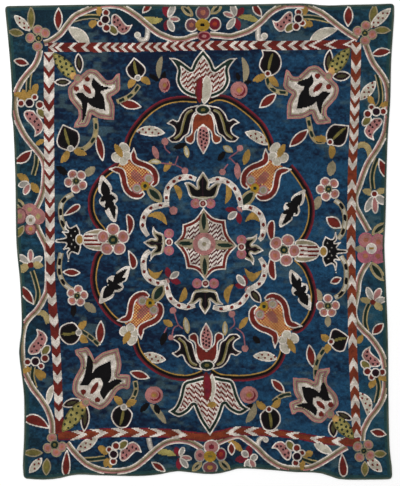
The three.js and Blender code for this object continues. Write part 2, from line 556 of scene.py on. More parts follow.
def diagonal_tulip(base, tip, hand):
    """The tulip on the scroll: a body in orange and yellow checks between two thick red petals with
    cream edges that flare at the mouth, where ivory lobes and a gold leaf come out."""
    place = Place(base, tip, 37, hand)
    body = [(-3, 0), (-3, 8), (4, 13), (13, 13.5), (22, 9), (29, 7), (35, 10), (35, 10), (34, 0)]
    chart.area(line(place(both_sides(body)), closed=True), check(("orange", "yellow")))
    chart.area(disc(place((13, 0)), 7.5, 4.4, place.turn), check(("mauve", "clay")))
    lobes = ((44, 9.5, 6.5, 4.6), (36.5, 6, 4.6, 4.6), (42, -3.5, 5.6, 4.8), (35, 0, 4.8, 5))
    for u, v, wide, high in lobes:
        chart.shape(disc(place((u, v)), wide, high, place.turn), "ivory")
    put_leaf("gold", place((38, 1.5)), place((54, 4.5)), 6.5)
    for sign in (1, -1):
        knots = np.array([(-4.5, 5), (-4, 11), (1, 15.5), (8, 17), (15, 15), (22, 11), (29, 9.5), (38, 17)])
        path = line(place(knots * (1, sign)))
        edge = ribbon(path, (4, 6.4, 7.2, 7.2, 7.2, 7.2, 7.6, 6.5, 0.8))
        chart.shape(edge, "brick")
    for sign in (1, -1):
        chart.shape(disc(place((3.5, 8 * sign)), 5.2), "khaki", ("rose", "grey"))
    chart.area(disc(place((0, 0)), 4.5), "amber")
    chart.area(disc(place((0, 0)), 1.8), "green")


def upright_tulip(base, tip, length, half, red, ivory, hand):
    """The tall tulip at the head and foot: three points, rows of cream, green and cream, red and
    cream zigzags inside, and a red and an ivory leaf up its heart."""
    place = Place(base, tip, length)
    edge = line(place(both_sides(half)), closed=True)
    steps = zigzag(("cream", "brick"), hand, TULIP_PITCH)
    chart.shape(edge, steps, ("cream", "green", "green", "cream"))
    for fill, rim, (bx, by, tx, ty, width, bend) in (("ivory", "cream", ivory), ("crimson", "brick", red)):
        chart.shape(leaf((bx, by), (tx, ty), width, bend, (0.6, 0.6)), fill, (rim,))


def hanging_lily(base, tip, cup_yarn):
    """The flower that hangs inside the scroll: a spotted pistil, a red cup round it, and a black
    petal either side with an olive line, curled twice at its end."""
    place = Place(base, tip, 54)
    for sign in (1, -1):
        petal = [(1, 3), (2, 10), (4, 17), (10, 23), (17, 26.5), (15.5, 32), (20, 38.5), (20, 38.5)]
        petal += [(22, 33), (26, 29.5), (31, 31), (35, 37.5), (35, 37.5), (39.5, 33), (39, 25)]
        petal += [(34, 20), (30, 15), (20, 12.5), (12, 10), (7, 6)]
        chart.shape(line(place(np.array(petal) * (1, sign)), closed=True), "black", ("cream", "plum"))
        middle = np.array([(6, 11), (10, 17), (19, 20.5), (30, 23.5), (36, 30)])
        chart.stem(line(place(middle * (1, sign))), ("olive", "khaki"))
    cup = [(7, 0), (11, 9), (20, 12), (30, 13), (34, 19), (34, 19), (39, 18.5), (41.5, 13), (38, 9)]
    cup += [(29, 7.5), (22, 0)]
    chart.shape(line(place(both_sides(cup)), closed=True), cup_yarn, ("cream",))
    pistil = [(22, 0), (24, 4.5), (32, 6.8), (41, 6.2), (53, 0)]
    chart.shape(line(place(both_sides(pistil)), closed=True), "rose", ("cream",))
    for u in range(28, 48, 4):
        for v in (-3, 0.3, 3.4) if u < 40 else (-1.7, 1.9):
            chart.area(disc(place((u + 0.5 * v, v)), 1.15), "plum")
    chart.shape(disc(place((6, 0)), 5.4, 7.6, place.turn), "green", ("cream",))
    chart.area(disc(place((6, 0)), 1.6, 2.4, place.turn), "olive")


def black_tulip(base, tip, spread):
    """A black flower with three points between the medallion's star and the ring, on a khaki foot."""
    place = Place(base, tip, 22)
    half = [(0, 0), (0, 7.5), (3, 11), (9, 13), (13, spread), (13, spread), (13, 10), (9, 4.5), (9, 4.5)]
    half += [(14, 5), (22, 0)]
    chart.shape(line(place(both_sides(half)), closed=True), "black", ("cream", "khaki"))
    chart.row(line(place([(2, 0), (10, 0.4), (18, 0)])), "plum")
    chart.stem(line(place([(1.5, -9), (0.5, -4), (0, 0), (0.5, 4), (1.5, 9)])), ("khaki", "ivory"))


def pink_trio(at, heading, spread):
    """Two round pink petals either side of a ringed eye."""
    a = np.radians(heading)
    for sign in (1, -1):
        petal_at = at + sign * spread * np.array([np.cos(a), np.sin(a)])
        chart.shape(disc(petal_at, 4.9), "rose", ("pink",))
        chart.area(disc(petal_at, 1.4), "clay")
    chart.shape(disc(at, 4.0), "brick")
    chart.area(disc(at, 1.3), "rose")


def acanthus(base, tip, hand):
    """A scalloped cream leaf with a black bulb, two pairs of arms and a tail worked inside it."""
    place = Place(base, tip, 45, hand)
    edge = [(-2, 0.3), (3, 3.6), (10, 6.6), (14, 6.4), (16, 5), (20, 8.8), (25.5, 9.2), (28.5, 5.6)]
    edge += [(32, 7), (36.5, 6), (41, 4.2), (46, 1.2), (43.5, -2.4), (38, -4.8), (33, -5.8)]
    edge += [(30, -5), (26, -8.4), (21, -8.8), (17.5, -5), (13, -7), (7, -5.6), (1, -2.4)]
    chart.shape(line(place(edge), closed=True), "cream")
    chart.area(leaf(place((4, 0)), place((21, -0.5)), 9.2, 0, (0.9, 0.6)), "black")
    chart.area(disc(place((23, 0)), 3.3), "black")
    for way, far in ((1, 24.5), (-1, 22.5)):
        chart.area(leaf(place((19, 0)), place((far, 7.6 * way)), 5.6, 0, (0.4, 0.7)), "black")
        chart.area(leaf(place((25, 0)), place((far + 9.5, 5 * way)), 5, 0, (0.4, 0.7)), "black")
    chart.area(leaf(place((21, 0)), place((43, 0.8)), 6.4, 1.5, (0.5, 0.9)), "black")


def striped_bud(base, tip):
    """The long bud at either side, in khaki, cream and red stripes."""
    place = Place(base, tip, 24)
    half = [(-1, 0), (-1, 8.5), (5, 11), (13, 10), (20, 7), (24.5, 0)]
    edge = line(place(both_sides(half)), closed=True)
    yarns = ("khaki", "cream", "brick", "cream", "brick", "cream", "brick", "cream", "khaki")
    fill = stripes(place, (-6.4, -5, -3.2, -1.0, 1.0, 3.2, 5, 6.4), yarns)
    chart.shape(edge, fill, ("cream",))


def spiky_flower(base, tip, hand):
    """A black flower with seven points round its outer side, edged in cream and flecked,
    on a gold foot."""
    place = Place(base, tip, 23, hand)
    half = [(0, 0), (-1, 8), (2, 15), (2, 15), (9, 12.5), (12, 21), (12, 21), (13.5, 12), (11, 8.5)]
    half += [(18, 9.5), (18, 9.5), (13.5, 4), (15, 2.6), (23, 1.5)]
    chart.shape(line(place(both_sides(half)), closed=True), "black", ("cream",))
    for u, v in ((4, -8), (6, 0), (5, 7), (8, 4), (8, -4)):
        chart.area(disc(place((u, v)), 0.8), "grey")
    chart.shape(disc(place((0, 0)), 4.4, 5.6, place.turn), "gold", ("cream",))


def medallion(at, tips):
    """The eight-pointed star: each valley lies on the middle way between two points, drawn in.
    Rows of cream and brick, zigzags, a green-hearted leaf to every other point, a pink rosette."""
    at = np.array(at, float)
    tips = np.array(tips, float)
    knots = []
    for tip, following in zip(tips, np.roll(tips, -1, 0)):
        valley = at + 0.88 * ((tip + following) / 2 - at)
        knots += [tip, tip, valley]
    edge = line(knots, closed=True)
    fill = zigzag(("cream", "maroon"), 1, STAR_PITCH)
    chart.shape(edge, fill, ("cream", "brick", "brick", "cream"))
    for tip in tips[::2]:
        foot = at + (tip - at) * 0.2
        end = at + (tip - at) * 0.93
        chart.area(leaf(foot, end, 9.6, 0, (0.5, 0.8)), "khaki")
        chart.area(leaf(at + (tip - at) * 0.38, at + (tip - at) * 0.86, 4.4, 0, (0.7, 0.7)), "green")
    chart.shape(disc(at, 11.3), "rose", ("rose",))
    chart.area(disc(at, 6.6), "cream")
    chart.area(disc(at, 2.2), "khaki")


def berry_spray(base, tip, hand, plump):
    """A spotted pink leaf with a curved tip, red berries in cream rings, an olive oval in its lap
    and two small gold leaves at the stem."""
    place = Place(base, tip, 34.5, hand)
    put_leaf("gold", place((0, 3)), place((-3, 12)), 5.5)
    put_leaf("gold", place((-1, -4)), place((-8, -9)), 6.5)
    knots = [(13, -2), (12, 4), (15, 6.5), (20, 5), (25, 1.5), (29.5, -0.5), (34.5, 1), (34.5, 1)]
    knots += [(32, -5.5), (26.5, -9), (20, -7), (16, -4)]
    chart.shape(line(place(np.array(knots) * (1, plump)), closed=True), "rose", ("cream",))
    for u, v in ((15, 3.4), (16, -0.6), (19, 1.6), (22, -1.8), (25.5, -4.6), (29, -3.4), (20, -4)):
        chart.area(disc(place((u, v * plump)), 1.15), "plum")
    chart.shape(disc(place((16.3, -8.4)), 6.2, 4.3, place.turn - 35 * hand), "olive", ("cream",))
    for u, v, size in ((5.6, 6.8, 3.9), (2.6, -5, 3.5), (9.4, -8, 4.3)):
        chart.shape(disc(place((u, v)), size), "brick")
    chart.shape(disc(place((6.4, 0)), 4.9), "plum")


# Places on the chart, in loops from the middle of the photo: across, then up

VINES = (
    [(-156, 199), (-150, 201), (-140, 208), (-133, 217), (-125, 226), (-113, 232), (-103, 235.5),
     (-90, 237), (-80, 235.5), (-72, 232), (-63, 226), (-57, 221), (-50, 215), (-42, 209), (-33, 205),
     (-25, 202.5), (-15, 203), (-8, 205.5), (-2, 207)],
    [(10, 207.5), (20, 206.5), (30, 205.5), (38, 207.5), (48, 211), (56, 216), (62, 221), (70, 229),
     (78, 234), (86, 236.5), (95, 237), (104, 236.5), (113, 233), (122, 229), (130, 223), (140, 215),
     (150, 208), (158, 203)],
    [(-160, 192), (-162, 184), (-166, 176), (-173, 168), (-179, 160), (-183, 152), (-185, 145),
     (-185.5, 137), (-185, 130), (-183, 122), (-179, 113), (-175, 106), (-169, 98), (-163, 91),
     (-158, 84), (-155.5, 76), (-155.5, 68), (-156, 60), (-157, 52), (-159, 45), (-163, 36), (-166, 31)],
    [(-164, 17), (-160, 8), (-156, 0), (-153, -8), (-152, -28), (-153, -48), (-157, -58), (-163, -68),
     (-170, -75), (-175, -82), (-177.5, -92), (-178.3, -103), (-178, -115), (-176.5, -127),
     (-172.5, -137), (-167, -147), (-160, -156), (-153, -167), (-148.5, -180), (-148, -190),
     (-148, -198)],
    [(164, 203), (167, 194), (170, 186), (174, 178), (180, 170), (185, 162), (187.5, 154), (188, 146),
     (188, 138), (187.5, 128), (186.5, 118), (185, 110), (181.5, 101), (176.5, 92), (171, 84), (167, 77),
     (163, 67), (160, 58), (157, 50), (155, 43), (156, 35), (160, 27), (165, 18), (169, 11)],
    [(169, -19), (163, -28), (159, -38), (157.5, -50), (155.5, -60), (154, -70), (156.5, -80), (163, -88),
     (170, -95), (177, -104), (182.5, -114), (185, -126), (185.5, -138), (185, -147), (182.5, -157),
     (177, -167), (170.5, -175), (166, -183), (163, -190), (162, -199)],
    [(-133, -201), (-127, -209), (-120, -216.5), (-112, -223), (-100, -228), (-88, -229.5), (-75, -228.5),
     (-66, -225.5), (-58, -220), (-50, -213), (-42, -206), (-33, -200.5), (-22, -198.5), (-12, -199.5),
     (-4, -203), (2, -207)],
    [(15, -202), (24, -198), (33, -194.5), (40, -194), (48, -199), (57, -206), (66, -215), (75, -221.5),
     (84, -225.5), (95, -227), (105, -226.8), (113, -225), (122, -220.5), (131, -215), (140, -209),
     (147, -205)],
)
VINE_ROWS = ("cream", "khaki", "bark", "rose", "cream")

# Each side of the guard band: its line, widths, axis, yarns, then its arrow heads as their way,
# how far back the sides, the notch and the ends lie, and where the points are
GUARDS = (
    ([(-152, 194.5), (-60, 195), (0, 196.3), (60, 197), (100, 196.7), (156, 198)],
     (9.4, 9), 0, "brick", (),
     ((-1, 5.5, 3.9, 5.5, (-151.5, -145, -132, -119, -107, -98, -89.5, -81, -72.5, -64, -55.5, -47, -38.5,
                           -30, -21.5, -13, -4, 5)),
      (-1, 5.5, 4.8, 6, (17, 29, 38, 48, 62, 76.3, 88, 99)),
      (-1, 10, 5, 9, (108, 124, 143)))),
    ([(-151, 190), (-151, 100), (-150.5, 60), (-150, 20), (-149.5, -30), (-147.5, -64), (-145.5, -85),
      (-144, -106), (-142.5, -135), (-141.3, -165), (-140.5, -192)],
     (10.4, 10.2, 8.8, 8.6, 8.6), 1, "brick", (),
     ((1, 7, 9.6, 7.5, (184, 169.8, 153.9, 137.7, 120.3)),
      (1, 6.5, 8.2, 7, (104, 91, 79, 66.4, 53, 39, 25, 10, -6)),
      (1, 5, 8.6, 5.5, (-23, -43, -64.5, -85.3, -107, -124.6, -142.3, -163.3, -179)))),
    ([(156.5, 200), (156, 175), (155, 140), (154, 110), (152.5, 75), (152, 50), (151.3, 10), (151.3, -20),
      (152, -60), (153, -110), (155, -155), (157, -200)],
     (10, 8.8, 8.8, 8.6, 8.8), 1, "rust", (),
     ((1, 7, 7, 7.5, (187, 168.5, 152, 138.7, 126, 113, 100, 87.4, 71)),
      (-1, 8, 8.6, 7, (63, 46.3, 26.8, 6.4, -12, -33, -51, -70, -91.3, -115.4, -134.7, -152, -170,
                       -187)))),
    ([(-142, -194), (-120, -193), (-90, -190.7), (-60, -190.7), (-30, -191.5), (-10, -194), (6, -195),
      (20, -193), (30, -190.5), (42, -189), (60, -189.8), (80, -191.5), (100, -194.3), (120, -198),
      (140, -199.8), (160, -200.5)],
     (9, 9.4, 8.6, 9, 7, 9), 0, "rust", ("crimson",),
     ((1, 10, 8, 10, (-112, -92, -72, -52, -34, -12)),
      (-1, 9, 7, 9, (26, 44, 64, 85, 109)),
      (-1, 7, 7, 7, (131,)))),
)

# Knots of the scroll's lines, each with its outer side on the left
SCROLLS = (
    [(-73.5, 92), (-72, 101), (-68, 110), (-62, 118.5), (-55, 126.5), (-46, 134), (-35, 140), (-20, 143),
     (-3, 142.5)],
    [(8, 141), (17, 144.5), (26, 143.5), (35, 139.5), (45, 132.5), (55, 124), (62, 116.5), (67.5, 107),
     (71, 98), (71.5, 92)],
    [(-94, 8), (-98, 12.5), (-104, 20), (-108, 29), (-109, 38), (-108, 47), (-103.5, 57), (-96, 66.5),
     (-88, 73), (-80, 78)],
    [(-77, -82.5), (-84, -78.5), (-91, -72), (-98, -62.5), (-104, -51), (-106.5, -38), (-105.5, -26),
     (-102.5, -15), (-97, -8)],
    [(3, -131), (-4, -134), (-13, -136), (-25, -135), (-36, -131.5), (-46, -126), (-54, -119.5),
     (-60, -112), (-63.5, -104), (-65, -96)],
    [(83, -102), (82.5, -112), (78, -121.5), (70, -129.5), (60, -133.5), (46, -136), (31, -136),
     (19, -134.5), (11, -130)],
    [(96, -16), (104.5, -25), (109.5, -35), (112.5, -45), (114, -55), (113, -65.5), (109, -76),
     (103, -84), (97.5, -88), (92, -88.5)],
    [(90, 75.5), (94.5, 70.5), (100.5, 62), (106.5, 52), (110.5, 41), (111.5, 31), (110.5, 21), (107, 10),
     (102, 2), (96, -3)],
)
SCROLL_ROWS = ("crimson", "maroon", "black", "black", "gold")

# Arcs of the scalloped ring, with the shares where its red spots lie
RING = (
    ([(-33, 38), (-33.5, 46), (-32, 54), (-27, 60), (-20, 64), (-11, 65), (-4, 62.5)],
     (0.13, 0.34, 0.52, 0.66, 0.88)),
    ([(-31, 38), (-40, 36.5), (-48, 34.3), (-54, 29), (-57, 22), (-57, 15), (-54, 9), (-52, 6)],
     (0.17, 0.37, 0.6, 0.76)),
    ([(-50, -9), (-54.5, -13), (-56.5, -20), (-55.5, -30), (-51, -37), (-43, -41), (-33, -40)],
     (0.25, 0.45, 0.65, 0.82)),
    ([(-33.5, -41), (-32, -50), (-29, -57), (-22, -63), (-13, -65), (-5, -63.5)],
     (0.12, 0.38, 0.62, 0.85)),
    ([(13, -65), (22, -67), (32, -65.3), (40, -61.5), (46, -54.5), (49.5, -47)],
     (0.18, 0.42, 0.62, 0.84)),
    ([(49, -47.5), (57, -43.5), (62, -38.5), (64.5, -31), (64, -23), (60, -16)], (0.3, 0.53, 0.78)),
    ([(59, 2), (62, 5), (63.5, 12), (63, 20), (60.5, 27), (55, 32.3), (48, 34.7), (42, 34)],
     (0.13, 0.35, 0.6, 0.82)),
    ([(41, 35), (39.5, 43), (36.5, 51), (31, 57.5), (24, 61.5), (16, 62.5), (9, 60.5)],
     (0.17, 0.4, 0.6, 0.82)),
)

# Stems of the border, in straw and khaki with two green rows
BORDER_STEMS = (
    [(-130, 221), (-120, 224), (-110, 225.5), (-101, 225)],
    [(130, 221), (120, 223.5), (110, 225), (99, 225)], [(-169.5, 172), (-171.5, 162), (-172, 150)],
    [(177, 168), (179.5, 158), (181, 147), (180, 139), (176, 134)],
    [(-163.5, 88), (-164, 78), (-167, 67)], [(177.5, 84), (174, 75), (172, 65), (173, 53)],
    [(-168, -29), (-164.5, -40), (-162, -52), (-164, -63)],
    [(169, -62), (166, -70), (165, -80), (167, -89)], [(-167, -125), (-168, -135), (-165, -146)],
    [(176, -134), (178.5, -142), (178.5, -150), (176, -161)], [(-119, -218), (-108, -217.5), (-95, -216)],
    [(102, -217), (111, -220), (119, -221.5)],
)

# Stems of the field, in khaki and straw with green spots
FIELD_STEMS = (
    [(-61, 157), (-66, 150), (-72, 145), (-83, 140)], [(67, 165), (69, 157), (76, 151), (88, 149)],
    [(-126, 93), (-118, 92.5), (-111, 97), (-106, 104), (-104, 113), (-105, 124)],
    [(125, 101), (117, 101), (112, 107), (110, 115), (108, 125)],
    [(-118, -89.5), (-110, -95), (-101, -103)], [(-65, -139), (-64, -148), (-67, -156), (-71, -161)],
    [(125, -106), (119, -116), (116, -125), (116, -137)], [(73, -160), (82, -154), (91, -152)],
)

# Segmented stems beside the east and west flowers, with the shares of their dark lengths
SEGMENTED = (
    ([(-127, 48), (-134, 44), (-138.5, 38), (-139.5, 30), (-138, 20), (-134, 12)], (0.26, 0.55, 0.83)),
    ([(-139, -11), (-140.5, -20), (-140.5, -31), (-137, -40), (-131, -46), (-125, -49)],
     (0.2, 0.42, 0.66)),
    ([(135, 42), (141, 37), (144.5, 29), (145, 19), (142.5, 9), (138, 3)], (0.2, 0.48, 0.8)),
    ([(141, -14), (145.5, -23), (146.5, -33), (145.5, -44), (141, -52), (135, -56)], (0.25, 0.55, 0.85)),
)

# Thin pink sprigs inside the scroll: stems, then balls
PINK_STEMS = (
    [(-39, 79), (-25, 77), (-15, 72)], [(-35, 100), (-35, 94), (-30, 89)], [(-25, 77), (-22, 86)],
    [(36, 89), (30, 85), (29, 83)], [(28, 78), (24, 73)], [(30, 84), (36, 78)], [(40, 93), (36, 89)],
    [(-26, -70), (-22, -82), (-17, -87)], [(-21, -83), (-26, -86), (-28, -93)], [(-33, -85), (-36, -91)],
    [(33, -74), (34.5, -82), (30, -87)], [(36, -86), (43, -92), (45, -103)], [(-28, 33), (-33, 37)],
)
BALLS = (
    (-35, 100.5, 3.6), (-15, 71, 3.3), (40, 94, 3.1), (22.5, 70, 3.3), (-27, -68.5, 3.2),
    (-29, -95.5, 2.8), (32, -72, 3.2), (45, -106.5, 3.4), (-26.5, 31.5, 4),
)

# Leaves by kind: base across and up, tip across and up, width, bend
LEAVES = {
    "gold": (
        (-103, 236, -100, 226, 5, 0), (-108, 222, -108, 214, 7, 0), (103, 237, 100, 227, 6, 0),
        (105, 223, 105, 214, 8, 0), (-173, 140, -183, 151, 7, 0), (-173, 141, -177.5, 153, 6, 0),
        (-172, 141, -169.5, 153, 6, 0), (-172, 141, -163, 151.5, 7, 0), (-165, 97, -155, 103, 5, 0),
        (170, 142, 175, 135, 5, 0), (180, 133, 189, 133, 5, 0), (-172, -124, -177, -131, 5, 0),
        (-164, -127, -158, -139, 7, 0), (163, -93, 157, -102, 6, 0), (174, -136, 172, -146, 6.5, 0),
        (178, -133, 184, -138, 5, 0), (-100, -206, -92, -212, 7, 0), (-89, -214, -90, -227, 5.5, 0),
        (27, -198, 43, -210, 6.5, 1), (103, -218, 103, -228, 5, 0), (103, -214, 111, -211, 6, 0),
        (-36, 70, -28, 80, 6, 1), (44, 77, 49, 93, 7, 0), (-37, -78, -27, -84, 6.5, 0),
        (48, -75, 39, -87, 6, 0), (-27, 58, -20, 42, 6, 2.5), (-53, 26, -33, 17, 7.5, 5.5),
        (-52, -26, -37, -28, 7, -7), (-15, -45, -21, -61, 6.5, 2), (34, -42, 28, -62, 6.5, -4),
        (44.5, -26, 62, -28, 8.5, -8), (45, 20, 60, 20, 7, 6), (25, 38, 26, 60, 6, -3.5),
    ),
    "moss": (
        (-44, -210.5, -24, -213.5, 6.4, 1.5), (-58, 224, -37, 223, 7, -2), (60, 219, 38, 225, 6.4, -2.5),
    ),
    "red": (
        (-142, 211, -141.5, 235, 9, 0), (148, 215, 149, 237, 10, 0), (-171, 178, -187, 182, 8, 0),
        (171, 187, 192, 191, 9, 1), (-168, 92, -186, 79, 10, 1.5), (179, 84, 185, 64, 8.5, 1),
        (-166, -63, -180, -43, 9, 0), (172, -93, 184, -81, 9, 0), (170, -189, 187, -193, 8.5, 0),
        (-58, 229, -48, 239, 7, 0), (62, 225, 52, 239, 8, 0), (-82, 140, -58, 135, 10, 0),
        (77, 149, 59, 134, 10, 0), (-103, 109, -97, 80, 8.5, 0), (109, 113, 89, 95, 10, 0),
        (-100.5, -104, -99, -78, 9.5, 0), (-50, -136, -71, -130, 9, 0), (113, -126, 109, -102, 9.5, 0),
        (85, -151, 71, -137, 8.5, 0), (-138, -30, -119, -31, 8, 0), (142, 14, 126, 25, 11.5, 0),
        (142, -36, 130, -41, 7.5, 0), (-49, -220, -34, -230, 7.5, 0), (31, -200, 32, -214, 8, 0),
    ),
    "club": (
        (-150, -187, -175, -176, 12, -2), (-133, -207, -134.5, -234, 9, 0),
        (142, -211, 144, -235, 9.5, 0), (-137, 26, -120, 37, 7.5, 0), (-73, 4, -72, 28, 8, -3),
        (-72, -8, -66, -27, 8.5, 1.5), (74, -3, 72, 22, 8.5, 2), (75, -9, 74, -38, 8.5, -3),
    ),
    "dark": (
        (-120, 169, -122, 189, 9, 0), (-129, 160, -146, 160, 8, 0), (127, 169, 130, 193, 9.5, 0),
        (132, 165, 151, 167, 10.5, 0), (-119, -158, -138, -164, 9, 0), (-114, -163, -116, -190, 9.5, 0),
        (136, -170, 153, -178, 8, 0), (132, -178, 134, -196, 10, 0),
    ),
    "olive": (
        (-169, 212, -169, 236, 8, 0), (-176, 208, -192, 211, 8, 0), (172, 217, 175, 238, 9, 0),
        (173, 212, 191, 212, 8, 0), (-157, -211, -177, -211, 8.5, 0), (-153, -216, -154, -234, 9, 0),
        (173, -212, 187, -212, 8, 0), (165, -219, 165, -235, 8, 0), (-176, 17, -184, 4, 7, 0),
    ),
    "green": (
        (-19, 237, -7, 226, 8, 0), (22, 238, 11, 228, 8, 0), (-176, 32, -184, 43, 8, 0),
        (172, 7, 186, 19, 9, 0), (170, -20, 184, -39, 10, 0), (-8, -229, 2, -220, 7, 0),
        (19, -218, 30, -229, 8, 0), (-38, 40, -53, 55, 11, 0), (40, 35, 55, 52, 12, 0),
        (-36, -42, -47, -60, 12, 0),
    ),
    "ivory": (
        (-132, 215, -111, 196, 12.5, 1.5), (138, 213, 109, 198, 11, -3), (-152, -163, -147, -143, 7, 1),
        (133, -212, 114, -201, 9.5, 0),
    ),
    "pale": (
        (23, 96, 33, 90, 6.5, 0), (-15, 97, -12, 84, 5.5, 0), (-52, 80, -38, 79, 5, 1),
        (-15, -75, -12, -92, 6.5, 0), (25, -79, 25, -94, 5.5, 0),
    ),
    "khaki": (
        (-41, 164, -38, 186, 6, 1.5), (44, 159, 42, 185, 6.5, -3), (-50, -162, -34, -182, 6.5, 1),
        (55, -161, 46, -181, 7.5, 2), (-116, 66, -105, 75, 8, 0), (130, 66, 133, 81, 9, 0),
        (120, 46, 115, 32, 8, 0), (-116, -61, -104, -70, 8, 0), (128, -74, 128, -85, 6.5, 0),
        (121, -60, 117, -47, 7, 0), (155, -7, 165, -7, 7, 0),
    ),
    "black": (
        (-144, 76, -132, 67, 7, 0), (-126, -62, -127, -75, 6, 0), (-41, 161, -51, 168, 5, 0),
        (-38, 161, -35, 171, 5, 0), (44, 160, 52, 160, 4.5, 0), (39, 161, 37, 170, 4.5, 0),
        (-51, -161, -60, -170, 6, 0), (-45, -162, -41, -172, 6, 0), (53, -162, 45, -168, 5, 0),
        (56, -160, 60, -162, 5, 0), (-27, 94, -13, 98, 5.5, 0), (18, 81, 25, 91, 6, 0),
        (-34, -90, -39, -104, 6.5, 0), (53, -94, 60, -102, 6, 0),
    ),
    "rose": (
        (37, 79, 38, 63, 6.5, 0), (-47, 96, -42, 83, 6, 0),
    ),
}

# Leaves with spots: base, tip, width, bend
SPOTTED = (
    (-170, 211, -186, 227, 9, 0), (170, 214, 191, 234, 10, 0), (-158, -216, -171, -231, 9, 0),
    (167, -215, 182, -230, 10.5, 0), (176, 161, 160, 142, 10.5, 0), (168, -175, 157, -150, 10, -5),
    (-124, -210, -102, -195, 10.5, 0), (-64, 111, -35, 109, 10.5, 1), (68, 97, 45, 110, 11, -2),
    (-57, -112, -34, -118, 10.5, -1), (78, -117, 53, -114, 10, -1),
)

# White hooks off the vine: an open line, then the ball at its end
HOOKS = (
    ([(-52, 217), (-52.5, 208), (-54, 203), (-59, 202.3), (-62.5, 206)], (-62.5, 207, 3.4)),
    ([(58.5, 217), (58, 208), (58.5, 203), (62, 202.3), (64.5, 204.5)], (64.5, 206, 3.4)),
    ([(-51.5, -196), (-50, -203), (-47, -211)], (-47.5, -210, 2.4)),
    ([(57.5, -205), (58.5, -199), (62, -196), (66, -197.5)], (66, -198, 2.8)),
)

# Beige leaves that arch over, open lines
ARCHES = (
    [(157.5, 95), (162, 97.5), (167, 95.5), (169.5, 90), (169.5, 84)],
    [(-165, -71), (-158, -71), (-154, -74.5), (-152.5, -82)],
)

# Small flowers of the border and of the ring: the middle, then petals as kind, reach across and
# up, width
BORDER_STARS = (
    ((-32.5, 223.5), (("crimson", -3, 15, 6), ("crimson", -2, -12, 5), ("white petal", 7, 14, 6),
                      ("white petal", 6, -13, 6), ("pink petal", 12.5, -1, 5))),
    ((36, 225), (("crimson", 8, 9.5, 5.5), ("crimson", 3, -13, 5.5), ("white petal", -4, 13, 6),
                 ("white petal", -9, -12, 6), ("pink petal", -13, 4.5, 5))),
    ((-170, 60), (("gold", -13, 8, 6), ("gold", 9, -11, 6), ("white petal", -12, -4, 6),
                  ("pink petal", -6, -13, 6))),
    ((-169.5, -22), (("pink petal", 0, 15, 5.5), ("white petal", -13, 9, 6), ("white petal", 12, 7, 6),
                     ("straw", 13, -2, 6), ("straw", -14, -8, 7))),
    ((174.5, 48), (("straw", -12, 4, 5.5), ("straw", 11, 5, 5.5), ("white petal", -9, -18, 6.5),
                   ("pink petal", 1, -20, 6), ("white petal", 11, -10, 7))),
    ((173, -60), (("white petal", -6, 15, 6), ("pink petal", 8, 14, 6.5), ("white petal", 13, 3, 6),
                  ("straw", 10, -8, 6), ("straw", -13, 3, 5))),
    ((-21, -215), (("crimson", -3.5, 10, 5.5), ("crimson", 0, -13, 5), ("white petal", 5, 10, 5),
                   ("pink petal", 13, -2, 5), ("white petal", 9, -11, 5.5))),
    ((49, -216), (("crimson", 0, 13, 6), ("crimson", -14, -2, 6), ("white petal", -7, 7, 6),
                  ("white petal", 9, 1, 6), ("white petal", -3, -11, 5.5), ("pink petal", 6, -10, 5.5))),
)
RING_STARS = (
    ((-31, -37), (("crimson", -2, 12, 5), ("crimson", 12, -4, 5), ("white petal", 10, 7, 5.5),
                  ("rose", -3, -3, 5))),
    ((38, 31), (("crimson", -13, 2, 5), ("crimson", 2, -13, 5), ("white petal", -10, -8, 6),
                ("rose", 3, 3, 6))),
    ((46, -45), (("crimson", -11, 2, 5), ("crimson", -2, 12, 5), ("white petal", -9, 12, 6),
                 ("rose", 3, -3, 6))),
)

# Round flowers: middle, petal reach and size, the petals' headings, and the eye
BORDER_ROSETTES = (
    ((-161.5, 204), 8.4, 4.9, (96, 38, 178, 262), 3.0), ((165, 209), 7.6, 4.9, (82, 165, 350, 272), 3.0),
    ((-145.5, -203), 7.6, 4.9, (110, 205, 285, 345), 3.8),
    ((164, -209), 7.6, 4.8, (55, 145, 235, 325), 2.8),
)
FIVE_PETALS = (
    ((-124, 61), 7.7, 4.6, (118, 190, 268, 328, 48), 3.0),
    ((128.5, 53), 7.9, 4.7, (115, 182, 250, 322, 46), 3.1),
    ((-123, -54), 6.9, 4.3, (80, 152, 224, 300, 8), 2.9),
    ((128, -64), 7.5, 4.5, (90, 178, 238, 300, 4), 3.1),
)
SIDE_ROSETTES = (
    ((-87, 2), 10.6, 6.2, (90, 162, 234, 306, 18), 4.6),
    ((84, -8), 10.4, 6.2, (-5, 67, 139, 211, 283), 3.8),
)

